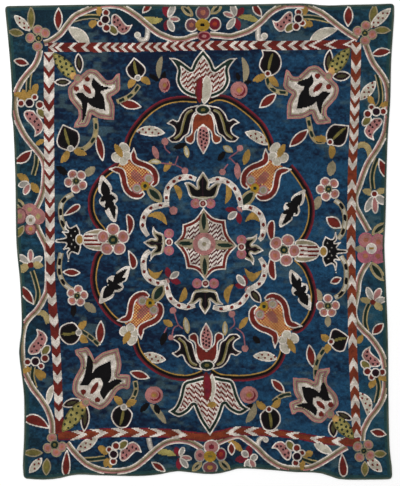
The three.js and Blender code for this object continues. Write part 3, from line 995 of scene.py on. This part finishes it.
# Middle flowers of the border: the eye's place, yarn and half sizes, its pupil's yarn and half
# sizes, then petals by place and half sizes with the yarns of fill, rim and heart
MIDDLES = (
    ((2.5, 217), "amber", (7.2, 6.3), "black", (2.4, 1.6),
     ((3, 229.5, 7, 7, "mauve", "grey", "clay"), (-8.5, 217, 6, 6.5, "mauve", "cream", "clay"),
      (14.8, 218, 6, 6.5, "crimson", "cream", "orange"),
      (4.2, 206, 6.3, 4.4, "crimson", "rose", "rose"))),
    ((10, -214.5), "amber", (6.2, 5.5), "olive", (2, 1.4),
     ((0, -213.5, 5.2, 6.2, "rose", "grey", "mauve"), (21, -212.5, 5.2, 6.2, "crimson", "grey", "orange"),
      (11.5, -205, 7.4, 6.6, "rose", "cream", "crimson"), (10, -225.5, 7.4, 6, "mauve", "grey", "gold"))),
    ((-169.5, 22), "cream", (5, 5.2), "khaki", (1.8, 1.8),
     ((-170.5, 32.5, 7.2, 5.4, "rose", "rose", "straw"), (-180, 26, 6, 7.5, "rose", "mauve", "straw"),
      (-162, 25.5, 6.6, 7.5, "rose", "rose", "straw"), (-169.5, 13, 5.4, 5.4, "rose", "mauve", "gold"))),
    ((171.5, -6.5), "cream", (5.4, 5.6), "gold", (2.6, 1.4),
     ((166, 2, 7, 7, "rose", "pink", "clay"), (178.5, 0, 7, 7.5, "rose", "pink", "clay"),
      (165.5, -14, 7.6, 6.6, "pink", "pink", "clay"), (178, -14, 7.4, 7, "pink", "pink", "clay"))),
)

# Sprays of berries: stem end, tip, hand and how plump the leaf is
SPRAYS = (
    ((-101, 224), (-67.5, 216.5), 1, 1.2),
    ((104.5, 224), (72, 221), -1, 1.35),
    ((-172, 147), (-165, 105), -1, 0.95),
    ((177, 137), (173.5, 101.5), 1, 1.1),
    ((-165, -127), (-163.3, -86.6), 1, 1.05),
    ((177, -137), (170, -104), -1, 1.15),
    ((-93, -213), (-58, -210), -1, 1.2),
    ((103, -216.5), (71, -206), 1, 1.1),
)

# Corner flowers: base, tip, and for each lobe its tip and the black's tip, all along and across,
# and the width of a leaf that joins them
LILIES = (
    ((-120, 161), (-86, 122), ((21.2, 36.5, 27.5, 21, 0), (32.5, -36.5, 34.5, 27, 0))),
    ((126, 163), (87, 123), ((27, 33, 28.5, 20.5, 0), (20.5, -34, 22.5, 19.5, 6.5))),
    ((-112, -157), (-82, -106), ((32.5, 33, 35, 21, 0), (28, -27.5, 31, 19.5, 0))),
    ((128, -170), (93, -136), ((27, 29.5, 30, 19.5, 0), (32.5, -36.5, 27, 22.5, 6.5))),
)

# Cone leaves: base, tip, width
CONES = (
    ((-125, 164), (-147, 189), 13.5),
    ((130, 169), (150, 194), 14),
    ((-115, -160), (-138, -190), 15),
    ((134, -175), (154, -197), 13.5),
)

# Dark buds: base, tip, hand, far end, yarn of the eye, and how plump
BUDS = (
    ((-62, 163), (-66, 184), 1, "point", "grey", 1.05),
    ((67.5, 167), (73, 192), -1, "corner", "brick", 1.0),
    ((-129, 92), (-137, 117), -1, "point", "grey", 1.05),
    ((129, 99), (148.5, 116), 1, "point", "brick", 1.0),
    ((-120, -90.5), (-141, -92), 1, "round", "grey", 1.25),
    ((130, -100), (148.5, -95), -1, "point", "brick", 1.45),
    ((-76, -164), (-80, -186), -1, "round", "grey", 1.1),
    ((69, -166), (71, -189), 1, "round", "brick", 1.05),
)

# Tulips on the scroll: base, tip, hand. Black ones in the ring: base, tip, spread. Then pink
# petals: middle, heading, spread, and scalloped leaves: base, tip, hand
TULIPS = (
    ((-55, 56), (-78, 83), -1),
    ((55, 54), (78, 82.5), 1),
    ((-50, -61), (-70.5, -87.5), 1),
    ((64, -64.5), (88, -94.5), -1),
)
BLACK_TULIPS = (
    ((3, 43), (3, 71), 15),
    ((43, -6), (64, -8.5), 17),
    ((5, -48), (5, -73), 17),
    ((-36, -2), (-57, -0.5), 19),
)
TRIOS = (
    ((3, 38.5), 0, 7.5),
    ((41.5, -5), 90, 7),
    ((5.5, -41.5), 0, 8.5),
    ((-31, 0), 90, 8.5),
)
ACANTHUS = (
    ((-98, 65), (-86, 20.5), 1),
    ((104, 51), (80, 16), 1),
    ((-99.5, -60), (-71.5, -24.5), -1),
    ((109.5, -67), (90.5, -29), -1),
)

# Tall tulips: base, tip, length, half of the outline, the red and the ivory leaf at the heart, and
# the hand of the zigzags
TALL_TULIPS = (
    ((3, 140), (3, 193), 53,
     ((3, 0), (5, 12), (11, 22), (21, 27), (32, 26), (38, 29), (44, 34), (44, 34), (43, 25), (34, 12),
      (34, 12), (43, 8), (53, 0)),
     (0, 139, 1.5, 166, 7, 2), (4, 138, 7, 167, 11, -1), 1),
    ((8, -133), (10, -194), 61,
     ((0, 0), (3, 14), (7, 25), (22, 30), (31, 35), (35, 42), (35, 42), (41, 31), (37, 21), (31, 15.5),
      (31, 15.5), (45, 10), (61, 0)),
     (6, -130, 7, -159, 8.5, 1), (12, -132, 11.5, -160, 7, 1), -1),
)

# Curled roses: middle, half width and height; their layers: yarn, shift across and up, shares
ROSES = ((-35.5, 157, 5.5, 7.2), (39, 152, 8.5, 8.5), (-46, -153, 9, 8.5), (49, -153, 9, 8.5))
ROSE_LAYERS = (
    ("rose", 0, 0, 1, 1),
    ("crimson", 0.8, -0.5, 0.66, 0.66),
    ("rose", -0.4, 0.5, 0.6, 0.58),
    ("clay", 0.3, 0, 0.4, 0.38),
    ("gold", 0, -0.3, 0.24, 0.22),
)

# The middle of the medallion and its eight points
STAR_AT = (4.3, -2)
STAR_TIPS = (
    (3.5, 34.5), (25.5, 22), (37.5, -4), (26, -27.5), (5, -38.5), (-13.5, -26.5), (-26, -1),
    (-17.5, 17.5),
)


def draw_border():
    """The vine and its flowers, leaves and berries, then the guard band over them."""
    for knots in BORDER_STEMS:
        chart.stem(line(knots), ("straw", "green", "green", "khaki"))
    for kind in ("gold", "moss", "red", "club", "olive", "green", "ivory"):
        for bx, by, tx, ty, width, bend in LEAVES[kind]:
            put_leaf(kind, (bx, by), (tx, ty), width, bend)
    for knots, (x, y, size) in HOOKS:
        chart.stem(line(knots), ("grey", "cream", "cream", "grey"))
        chart.shape(disc((x, y), size), "ivory")
    for knots in ARCHES:
        chart.area(ribbon(line(knots), (4.2, 6, 6, 5.6, 3.4)), "straw")
    for bx, by, tx, ty, width, bend in SPOTTED:
        spotted_leaf((bx, by), (tx, ty), width, bend)
    for knots in VINES:
        chart.stem(line(knots), VINE_ROWS)
    for at, petals in BORDER_STARS:
        star_flower(at, petals)
    chart.shape(disc((174.5, 48), 3.8), "brick")
    chart.area(disc((173, -60), 2.8), "brick")
    chart.area(disc((-169.5, -23), 3), "brick")
    for spray in SPRAYS:
        berry_spray(*spray)
    for knots, widths, axis, fill, edges, heads in GUARDS:
        guard_band(line(knots), widths, axis, fill, edges, heads)
    for flower in BORDER_ROSETTES:
        rosette(*flower, "khaki")
    for at, core, eye, pupil, size, petals in MIDDLES:
        for x, y, wide, high, fill, rim, heart in petals:
            round_petal((x, y), wide + 0.6, high + 0.6, 0, fill, rim, heart)
        chart.shape(disc(at, *eye), core, (core,))
        chart.area(disc(at, *size), pupil)


def draw_field():
    """The flowers of the corners and sides, the great scroll and what grows on it."""
    for knots in FIELD_STEMS:
        path = line(knots)
        chart.stem(path, ("khaki", "straw", "straw", "khaki"))
        chart.spots(path, (0.15, 0.5, 0.82), (3.4, 1.5), "green")
    for kind in ("dark", "khaki", "pale", "black", "rose"):
        for bx, by, tx, ty, width, bend in LEAVES[kind]:
            put_leaf(kind, (bx, by), (tx, ty), width, bend)
    for base, tip, width in CONES:
        cone_leaf(base, tip, width)
    for base, tip, lobes in LILIES:
        corner_lily(base, tip, lobes)
    for bud in BUDS:
        dark_bud(*bud)
    for knots, shares in SEGMENTED:
        path = line(knots)
        chart.stem(path, ("khaki", "ivory", "ivory", "khaki"))
        chart.spots(path, shares, (3.6, 1.7), "black")
    for knots in SCROLLS:
        chart.stem(line(knots), SCROLL_ROWS)
    striped_bud((-95, 2), (-119, 2))
    striped_bud((96, -8.5), (121, -9.5))
    spiky_flower((-120.5, 2.5), (-144, 1), 1)
    spiky_flower((123.5, -9.5), (147, -9.5), -1)
    for flower in (*FIVE_PETALS, *SIDE_ROSETTES):
        rosette(*flower)
    for base, tip, hand in TULIPS:
        diagonal_tulip(base, tip, hand)
    for tulip in TALL_TULIPS:
        upright_tulip(*tulip)
    chart.area(disc((12, -163), 4.5, 3), "gold")
    hanging_lily((3, 138), (3.5, 86), "rust")
    hanging_lily((7, -129), (6, -79), "brick")
    for x, y, wide, high in ROSES:
        for yarn, across, up, share_wide, share_high in ROSE_LAYERS:
            edge = disc((x + across, y + up), wide * share_wide, high * share_high)
            chart.area(edge, yarn)


def draw_middle():
    """The scalloped ring, and inside it the star, its black flowers and the small parts."""
    for knots in PINK_STEMS:
        chart.row(line(knots), "dusk")
    for x, y, size in BALLS:
        chart.area(disc((x, y), size), "rose")
    for at, petals in RING_STARS:
        star_flower(at, petals)
    put_leaf("dark", (50, -47), (61, -61), 9.5)
    for knots, shares in RING:
        path = line(knots)
        chart.shape(ribbon(path, (4.6, 6, 6, 6, 6, 4.4)), "cream")
        chart.spots(path, shares, (2.0, 1.4), "brick")
    for base, tip, spread in BLACK_TULIPS:
        black_tulip(base, tip, spread)
    for base, tip, hand in ACANTHUS:
        acanthus(base, tip, hand)
    for at, heading, spread in TRIOS:
        pink_trio(np.array(at, float), heading, spread)
    medallion(STAR_AT, STAR_TIPS)


# From the chart to loops

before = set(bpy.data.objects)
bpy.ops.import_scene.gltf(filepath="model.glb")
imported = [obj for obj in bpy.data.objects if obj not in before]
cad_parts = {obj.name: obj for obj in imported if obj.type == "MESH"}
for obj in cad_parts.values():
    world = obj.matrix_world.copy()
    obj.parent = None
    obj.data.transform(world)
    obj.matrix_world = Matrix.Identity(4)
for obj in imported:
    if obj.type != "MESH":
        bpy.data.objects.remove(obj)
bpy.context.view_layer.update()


def rug_outline():
    """The rug's outline on the chart: the CAD node's points on the floor, in order of their
    direction from the middle."""
    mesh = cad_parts["rug"].data
    points = np.empty(len(mesh.vertices) * 3, np.float32)
    mesh.vertices.foreach_get("co", points)
    points = points.reshape(-1, 3).astype(float)
    foot = np.unique(np.round(points[points[:, 2] < 1e-5, :2], 6), axis=0)
    turn = np.argsort(np.arctan2(foot[:, 1], foot[:, 0]))
    return even(foot[turn] / LOOP + MIDDLE, closed=True)


def sway(x, y):
    """How far a level row has wandered up or down, by smooth noise."""
    return 1.1 * (value_noise(x, y, (37, 52), 3) - 0.5) + 0.3 * (value_noise(x, y, (7, 3), 4) - 0.5)


def fill_loops():
    """The loops of the fills: along each level row, every stretch of one thing has a whole number
    of loops at even distances."""
    u = np.arange(-CHART_HALF[0], CHART_HALF[0], CELL) + CELL / 2
    v = np.arange(-CHART_HALF[1], CHART_HALF[1], FILL_PITCH)
    across, along = np.meshgrid(u, v)
    row, column = chart.cells(across, along + sway(across, along))
    label = chart.top[row, column]
    change = np.ones(label.shape, bool)
    change[:, 1:] = label[:, 1:] != label[:, :-1]
    start = np.flatnonzero(change)
    span = np.diff(np.append(start, label.size)) * CELL
    number = label.ravel()[start]
    lined = np.zeros(len(chart.yarn), bool)
    lined[[rows[4][0] for rows in chart.worked if len(rows[4])]] = True
    charted = np.array([isinstance(yarn, tuple) for yarn in chart.yarn])
    used = (number > 0) & ~lined[number] & ~charted[number] & (span > SHORTEST)
    start, span, number = start[used], span[used], number[used]
    count = np.maximum(np.round(span / STITCH).astype(int), 1)
    place = np.arange(count.sum()) - np.repeat(np.cumsum(count) - count, count)
    half = np.repeat(span / count / 2, count)
    x = np.repeat(u[start % len(u)] - CELL / 2, count) + (2 * place + 1) * half
    level = np.repeat(v[start // len(u)], count)
    y = level + sway(x, level)
    return x, y, np.zeros(len(x)), half, np.repeat(number, count), np.full(len(x), FILL_PITCH)


def charted_loops():
    """The loops of the charted fills: one in the middle of each of the fill's own squares."""
    found = []
    for pitch in sorted({yarn[0] for yarn in chart.yarn if isinstance(yarn, tuple)}):
        label = np.array([isinstance(yarn, tuple) and yarn[0] == pitch for yarn in chart.yarn])
        columns, lines = np.ceil(CHART_HALF / pitch).astype(int)
        x, y = np.meshgrid(np.arange(-columns, columns) + 0.5, np.arange(-lines, lines) + 0.5)
        x, y = x.ravel() * pitch, y.ravel() * pitch
        number = chart.top[chart.cells(x, y)]
        here = label[number]
        size = np.full(here.sum(), pitch)
        found.append((x[here], y[here], np.zeros(here.sum()), size / 2, number[here], size))
    return tuple(np.concatenate(part) for part in zip(*found))


def lined_loops():
    """The loops of the rows worked along lines, less those that something later covers."""
    x, y, heading, half, number = (np.concatenate(part) for part in zip(*chart.worked))
    row, column = chart.cells(x, y)
    seen = chart.top[row, column] == number
    return x[seen], y[seen], heading[seen], half[seen], number[seen], np.full(seen.sum(), ROW)


def ground_dye(x, y):
    """The blue ground: long streaks along the rows between a deep and a middle blue, lighter to the
    right and darker to the head, greener towards the edges, with worn grey-green patches."""
    deep, middle, teal, worn = (linear(c) for c in ("#101e36", "#224e6e", "#1f4448", "#4f6669"))
    level = 0.38 + 0.34 * np.clip(x / 150, -0.32, 1) - 0.2 * np.clip((y - 60) / 120, -0.1, 1)
    level = level - 0.26 * np.clip((-y - 190) / 20, 0, 1) - 0.12 * np.clip((y - 190) / 20, 0, 1)
    level = level + 0.08 * np.exp(-(x**2 + y**2) / 8000)
    streak = 0.6 * (value_noise(x, y, (22, 2.6), 21) - 0.5)
    streak = streak + 0.9 * (value_noise(x, y, (60, 11), 22) - 0.5)
    streak = streak + 1.0 * (value_noise(x + 0.4 * y, y, (5.1, 3.7), 26) - 0.5)
    streak = streak + 1.3 * (value_noise(x, y, (2.1, 1.6), 27) - 0.5)
    blue = np.clip(level + 0.62 * streak, 0, 1)[:, None]
    colour = deep * (1 - blue) + middle * blue
    out = np.maximum((np.abs(x) - 146) / 30, (np.abs(y) - 200) / 34)
    out = np.clip(out + value_noise(x, y, (21, 6), 23) - 0.5, 0, 1)[:, None] * 0.52
    colour = colour * (1 - out) + teal * out * (0.7 + 0.6 * blue)
    rub = value_noise(x, y, (7, 3.6), 24) * value_noise(x, y, (40, 26), 25)
    rub = np.clip((rub - 0.34) * 2.2, 0, 0.5)[:, None]
    colour = colour * (1 - rub) + worn * rub
    return colour * (1 + 0.36 * (rng.random(len(x)) - 0.5))[:, None]


def dyes(x, y, number):
    """Linear colour of each loop: its yarn between clean and faded by smooth noise, then lighter or
    darker from loop to loop."""
    named = [YARN_NUMBER[yarn] if isinstance(yarn, str) else 0 for yarn in chart.yarn]
    yarn = np.array(named)[number]
    for label, pick in enumerate(chart.yarn):
        if callable(pick):
            here = number == label
            yarn[here] = pick(x[here], y[here])
        elif isinstance(pick, tuple):
            here = number == label
            pitch, rule = pick
            square = np.floor(np.stack([x[here], y[here]]) / pitch).astype(int)
            yarn[here] = rule(*square)
    clean, faded = (np.array([linear(pair[side]) for pair in YARNS.values()]) for side in (0, 1))
    fade = 0.5 + 1.3 * (value_noise(x, y, (5, 4), 31) - 0.5) + 0.5 * (rng.random(len(x)) - 0.5)
    fade = np.clip(fade, 0, 1)[:, None]
    colour = clean[yarn] * (1 - fade) + faded[yarn] * fade
    ground = yarn == YARN_NUMBER["ground"]
    colour[ground] = ground_dye(x[ground], y[ground])
    return colour * (1 + UNEVEN_SHADE * (rng.random(len(x)) - 0.5))[:, None]


def pile_top(x, y):
    """The height of the pile: its own height with the two low swells of the rug."""
    top = np.full(len(x), PILE_TOP)
    for wave in SWELLS:
        top += SWELL * np.sin(2 * np.pi * (x / wave["across"] + y / wave["along"]) + wave["start"])
    return top


HIP_FACES = np.array([(0, 1, 5), (0, 5, 4), (1, 2, 5), (2, 3, 4), (2, 4, 5), (3, 0, 4)])


def put_object(name, data):
    """An object of this name with its mesh, lamp or lens, linked to the scene."""
    made = bpy.data.objects.new(name, data)
    bpy.context.scene.collection.objects.link(made)
    return made


def add_bake_layer(mesh, flat, corner):
    """The layer for baking: each corner's place across and along, as shares of the mesh's own box."""
    low, high = flat.min(0), flat.max(0)
    layer = mesh.uv_layers.new(name="OFBake")
    layer.data.foreach_set("uv", ((flat - low) / (high - low))[corner].astype(np.float32).ravel())


def wool_band(name, loops, material):
    """One band of the pile as a mesh. A loop of wool is a low hip roof along its row: a rectangle at
    the cloth a little longer and wider than its share, and a short ridge at the top of the pile."""
    x, y, heading, half, wide, height, colour = loops
    count = len(x)
    corner = np.array([(-1, -1, 0), (1, -1, 0), (1, 1, 0), (-1, 1, 0), (-RIDGE, 0, 1), (RIDGE, 0, 1)])
    along = corner[None, :, 0] * (half * LOOP_LENGTH)[:, None]
    across = corner[None, :, 1] * wide[:, None]
    c, s = np.cos(heading)[:, None], np.sin(heading)[:, None]
    px = (x[:, None] + along * c - across * s - MIDDLE[0]) * LOOP
    py = (y[:, None] + along * s + across * c - MIDDLE[1]) * LOOP
    pz = np.where(corner[None, :, 2] > 0, height[:, None], HEM_TOP - SUNK)
    faces = (np.arange(count)[:, None, None] * 6 + HIP_FACES[None]).ravel()

    mesh = bpy.data.meshes.new(name)
    mesh.vertices.add(count * 6)
    mesh.vertices.foreach_set("co", np.stack([px, py, pz], 2).astype(np.float32).ravel())
    mesh.loops.add(len(faces))
    mesh.loops.foreach_set("vertex_index", faces.astype(np.int32))
    mesh.polygons.add(len(faces) // 3)
    mesh.polygons.foreach_set("loop_start", np.arange(0, len(faces), 3, dtype=np.int32))
    mesh.update(calc_edges=True)
    mesh.shade_smooth()

    # Painted shade: the loop's colour is darkened by FOOT_SHADE at its four corners on the cloth, so the
    # valleys between loops are painted darker
    dye_and_foot_shade = np.ones((count, 6, 4), np.float32)
    dye_and_foot_shade[..., :3] = colour[:, None] * np.where(corner[:, 2] > 0, 1.0, FOOT_SHADE)[None, :, None]
    mesh.color_attributes.new("dye_and_foot_shade", "FLOAT_COLOR", "POINT").data.foreach_set("color", dye_and_foot_shade.ravel())
    add_bake_layer(mesh, np.stack([px, py], 2).reshape(-1, 2), faces)
    yarn = np.stack([along + rng.random((count, 1)), across], 2).reshape(-1, 2)
    mesh.uv_layers.new(name="yarn").data.foreach_set("uv", yarn[faces].astype(np.float32).ravel())

    mesh.materials.append(material)
    return put_object(name, mesh)


# The bands of the pile, from foot to head
BANDS = 6


def wool_pile(material):
    """Every loop of the rug, unevenly set by hand, in bands from foot to head."""
    kinds = zip(fill_loops(), charted_loops(), lined_loops())
    x, y, heading, half, number, pitch = (np.concatenate(kind) for kind in kinds)
    colour = dyes(x, y, number)
    x = x + UNEVEN_PLACE * (rng.random(len(x)) - 0.5)
    y = y + UNEVEN_PLACE * (rng.random(len(x)) - 0.5)
    heading = heading + UNEVEN_TURN * (rng.random(len(x)) - 0.5)
    wide = pitch * (LOOP_WIDTH + UNEVEN_WIDTH * (rng.random(len(x)) - 0.5))
    where = (np.column_stack([x, y]) - MIDDLE) * LOOP
    height = pile_top(*where.T) + UNEVEN_TOP * (rng.random(len(x)) - 0.6)
    loops = (x, y, heading, half, wide, height, colour)
    bands = []
    for index, picked in enumerate(np.array_split(np.argsort(y), BANDS)):
        name = f"wool_pile_{index + 1}"
        bands.append(wool_band(name, tuple(part[picked] for part in loops), material))
    return bands


# The ground cloth with its hem: how far in from the edge, and the height there, in millimetres;
# then the rings of its level top and underside, as shares of the way from the middle
HEM_PROFILE = ((0, 1.2), (0.8, 3.2), (2.5, 4.1), (5, 4.3), (7.5, 4.1), (9, 3.4), (10.5, 3.3), (12.5, 4.2))
HEM_POINTS = 720
TOP_RINGS = (0.8, 0.5, 0.2)
UNDER_RINGS = (0.3, 0.6, 0.9, 1.0)


def ground_cloth(outline, material):
    """The woven cloth, closed underneath: rings inwards from the outline through the hem's profile,
    then a level top and a level underside, each a fan of rings drawn in to the middle."""
    edge = (outline - MIDDLE) * LOOP
    edge = edge[np.linspace(0, len(edge), HEM_POINTS, endpoint=False).astype(int)]
    rings = []
    for inwards, up in HEM_PROFILE:
        ring = inset(edge, inwards / 1000)
        rings.append(np.column_stack([ring, np.full(HEM_POINTS, up / 1000)]))
    for share in TOP_RINGS:
        rings.append(rings[len(HEM_PROFILE) - 1] * (share, share, 1))
    for share in UNDER_RINGS:
        rings.append(np.column_stack([edge * share, np.zeros(HEM_POINTS)]))
    points = np.vstack(rings)
    index = np.arange(HEM_POINTS)
    following = np.roll(index, -1)
    faces = []
    count = len(rings)
    top = range(len(HEM_PROFILE) + 2)
    under = range(len(HEM_PROFILE) + 3, count - 1)
    for ring in (*top, *under):
        a, b = ring * HEM_POINTS, (ring + 1) * HEM_POINTS
        faces.append(np.column_stack([a + index, a + following, b + following, b + index]))
    last = (count - 1) * HEM_POINTS
    faces.append(np.column_stack([last + index, last + following, following, index]))
    quads = np.vstack(faces).tolist()
    inner = ((len(HEM_PROFILE) + 2) * HEM_POINTS, (len(HEM_PROFILE) + 3) * HEM_POINTS)
    quads.append((inner[0] + index).tolist())
    quads.append((inner[1] + index[::-1]).tolist())
    mesh = bpy.data.meshes.new("ground_cloth")
    mesh.from_pydata(points.tolist(), [], quads)
    mesh.update()
    mesh.shade_smooth()
    mesh.materials.append(material)
    corner = np.empty(len(mesh.loops), np.int32)
    mesh.loops.foreach_get("vertex_index", corner)
    add_bake_layer(mesh, points[:, :2], corner)
    return put_object("ground_cloth", mesh)


# Materials


def node(tree, kind, values=(), links=()):
    """Adds a node. Values go to its own settings or by name to its sockets, and links name the
    output that feeds each input."""
    made = tree.nodes.new(kind)
    for name, value in dict(values).items():
        if isinstance(name, str) and hasattr(made, name):
            setattr(made, name, value)
        else:
            made.inputs[name].default_value = value
    for name, source in dict(links).items():
        tree.links.new(source, made.inputs[name])
    return made


def noise(tree, place, scale, detail):
    """A noise over the object's own metres."""
    values = {"Scale": scale, "Detail": detail}
    return node(tree, "ShaderNodeTexNoise", values, {"Vector": place.outputs["Object"]})


def spread(tree, source, lowest, low, high):
    """A value whose middle part, from lowest to 1 - lowest, is spread from low to high."""
    values = {"From Min": lowest, "From Max": 1 - lowest, "To Min": low, "To Max": high}
    return node(tree, "ShaderNodeMapRange", values, {"Value": source.outputs["Fac"]})


def maths(tree, operation, one, other):
    """Two values put together by an operation."""
    return node(tree, "ShaderNodeMath", {"operation": operation}, {0: one, 1: other})


def feed_shader(tree, shader, colour, rough, bump):
    """Links colour, roughness and bump to the shader."""
    tree.links.new(colour, shader.inputs["Base Color"])
    tree.links.new(rough.outputs["Result"], shader.inputs["Roughness"])
    tree.links.new(bump.outputs["Normal"], shader.inputs["Normal"])


def new_material(name, values):
    """A material with a principled shader that has these socket values; returns it, its tree and
    the shader."""
    material = bpy.data.materials.new(name)
    material.use_nodes = True
    shader = material.node_tree.nodes["Principled BSDF"]
    for socket, value in values.items():
        shader.inputs[socket].default_value = value
    return material, material.node_tree, shader


def dyed_wool():
    """Two-ply hand-dyed rug wool, hooked in low loops. The yarn colour comes from the loops, with painted
    shade darkening each loop's foot, fibres heather it, and the plies, 1.7 mm apart, and loose hairs stand
    up in the bump."""
    material, tree, shader = new_material(
        "dyed_rug_wool",
        {
            "Specular IOR Level": 0.1,
            "Sheen Weight": 0.06,
            "Sheen Roughness": 0.55,
            "Sheen Tint": (0.86, 0.87, 0.9, 1.0),
        },
    )
    place = node(tree, "ShaderNodeTexCoord")
    # The loops' colour attribute: yarn colour with painted shade at each loop's foot
    dye_and_foot_shade = node(tree, "ShaderNodeAttribute", {"attribute_name": "dye_and_foot_shade"})
    fibre = noise(tree, place, 760.0, 3.0)
    soil = noise(tree, place, 9.0, 4.0)
    heather = spread(tree, fibre, 0.25, 0.82, 1.18)
    dust = spread(tree, soil, 0.3, 0.93, 1.07)
    shade = maths(tree, "MULTIPLY", heather.outputs["Result"], dust.outputs["Result"])
    colour = node(
        tree,
        "ShaderNodeVectorMath",
        {"operation": "SCALE"},
        {"Vector": dye_and_foot_shade.outputs["Color"], "Scale": shade.outputs["Value"]},
    )
    rough = spread(tree, fibre, 0.3, 0.86, 1.0)
    twist = node(tree, "ShaderNodeUVMap", {"uv_map": "yarn"})
    ply = node(
        tree,
        "ShaderNodeTexWave",
        {"bands_direction": "DIAGONAL", "Scale": 0.62, "Distortion": 1.2},
        {"Vector": twist.outputs["UV"]},
    )
    height = maths(tree, "ADD", ply.outputs["Fac"], fibre.outputs["Fac"])
    bump = node(
        tree, "ShaderNodeBump", {"Strength": 0.5, "Distance": 0.0004}, {"Height": height.outputs["Value"]}
    )
    feed_shader(tree, shader, colour.outputs["Vector"], rough, bump)
    return material


def hem_cloth():
    """Stout plain-woven cloth, stained dark green-grey by the wool's dye and by use. Its threads are
    coarsened to 2 mm so that they show."""
    material, tree, shader = new_material(
        "woven_hem_cloth", {"Specular IOR Level": 0.2, "Sheen Weight": 0.15, "Sheen Roughness": 0.5}
    )
    place = node(tree, "ShaderNodeTexCoord")
    stain = noise(tree, place, 14.0, 5.0)
    fuzz = noise(tree, place, 900.0, 2.0)
    colour = node(tree, "ShaderNodeValToRGB", {}, {"Fac": stain.outputs["Fac"]})
    for stop, place_on, shade in zip(colour.color_ramp.elements, (0.36, 0.66), ("#26372f", "#4a5448")):
        stop.position = place_on
        stop.color = (*linear(shade), 1.0)
    warp, weft = (
        node(
            tree,
            "ShaderNodeTexWave",
            {"bands_direction": way, "Scale": 157.0, "Distortion": 1.5},
            {"Vector": place.outputs["Object"]},
        )
        for way in ("X", "Y")
    )
    weave = maths(tree, "MULTIPLY", warp.outputs["Fac"], weft.outputs["Fac"])
    height = maths(tree, "ADD", weave.outputs["Value"], fuzz.outputs["Fac"])
    bump = node(
        tree, "ShaderNodeBump", {"Strength": 0.6, "Distance": 0.0005}, {"Height": height.outputs["Value"]}
    )
    rough = spread(tree, fuzz, 0.3, 0.82, 0.98)
    feed_shader(tree, shader, colour.outputs["Color"], rough, bump)
    return material


# Working the rug

outline = rug_outline()
pile_edge = inset(outline, PILE_INSET / LOOP)
chart.area(pile_edge, "ground", start=True)
for turn_of_edge in (1.5, 0.5):
    chart.row(inset(pile_edge, turn_of_edge * ROW), "edge", closed=True)
draw_border()
draw_field()
draw_middle()

wool = dyed_wool()
bands = wool_pile(wool)
cloth = ground_cloth(outline, hem_cloth())
for piece in (cloth, *bands):
    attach(piece, "root")
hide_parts("rug")


# The floor, the light and the camera

FLOOR_HALF = 4.0
FLOOR_DROP = 0.0001
WORLD_STRENGTH = 0.84
LAMP_SIZE = 3.0
LAMP_WATTS = 75
LAMP_AT = (-2.2, 2.0, 3.4)
LAMP_TURN = (-30.5, -33, 0)
LENS = 85
SENSOR = 36
CAMERA_AT = (0.00165, -0.00658, PILE_TOP + 5.393)
WHITE = (1.0, 1.0, 1.0, 1.0)

floor_mesh = bpy.data.meshes.new("floor")
floor_corners = [(x, y, -FLOOR_DROP) for x, y in ((-1, -1), (1, -1), (1, 1), (-1, 1))]
floor_corners = [(x * FLOOR_HALF, y * FLOOR_HALF, z) for x, y, z in floor_corners]
floor_mesh.from_pydata(floor_corners, [], [(0, 1, 2, 3)])
floor = put_object("floor", floor_mesh)
floor_looks = {"Base Color": WHITE, "Roughness": 0.9, "Specular IOR Level": 0.2}
floor_material, _, _ = new_material("matt_white_floor", floor_looks)
floor_mesh.materials.append(floor_material)
abs(doubled_area(outline)) / 2 * LOOP**2

world = bpy.data.worlds.new("studio")
world.use_nodes = True
world.node_tree.nodes["Background"].inputs["Color"].default_value = WHITE
world.node_tree.nodes["Background"].inputs["Strength"].default_value = WORLD_STRENGTH
bpy.context.scene.world = world

lamp = bpy.data.lights.new("soft_box", "AREA")
lamp.size = LAMP_SIZE
lamp.energy = LAMP_WATTS
soft_box = put_object("soft_box", lamp)
soft_box.location = LAMP_AT
soft_box.rotation_euler = np.radians(LAMP_TURN)

lens = bpy.data.cameras.new("camera")
lens.lens = LENS
lens.sensor_width = SENSOR
camera = put_object("camera", lens)
camera.location = CAMERA_AT
bpy.context.scene.camera = camera
bpy.context.scene.view_settings.view_transform = "Standard"
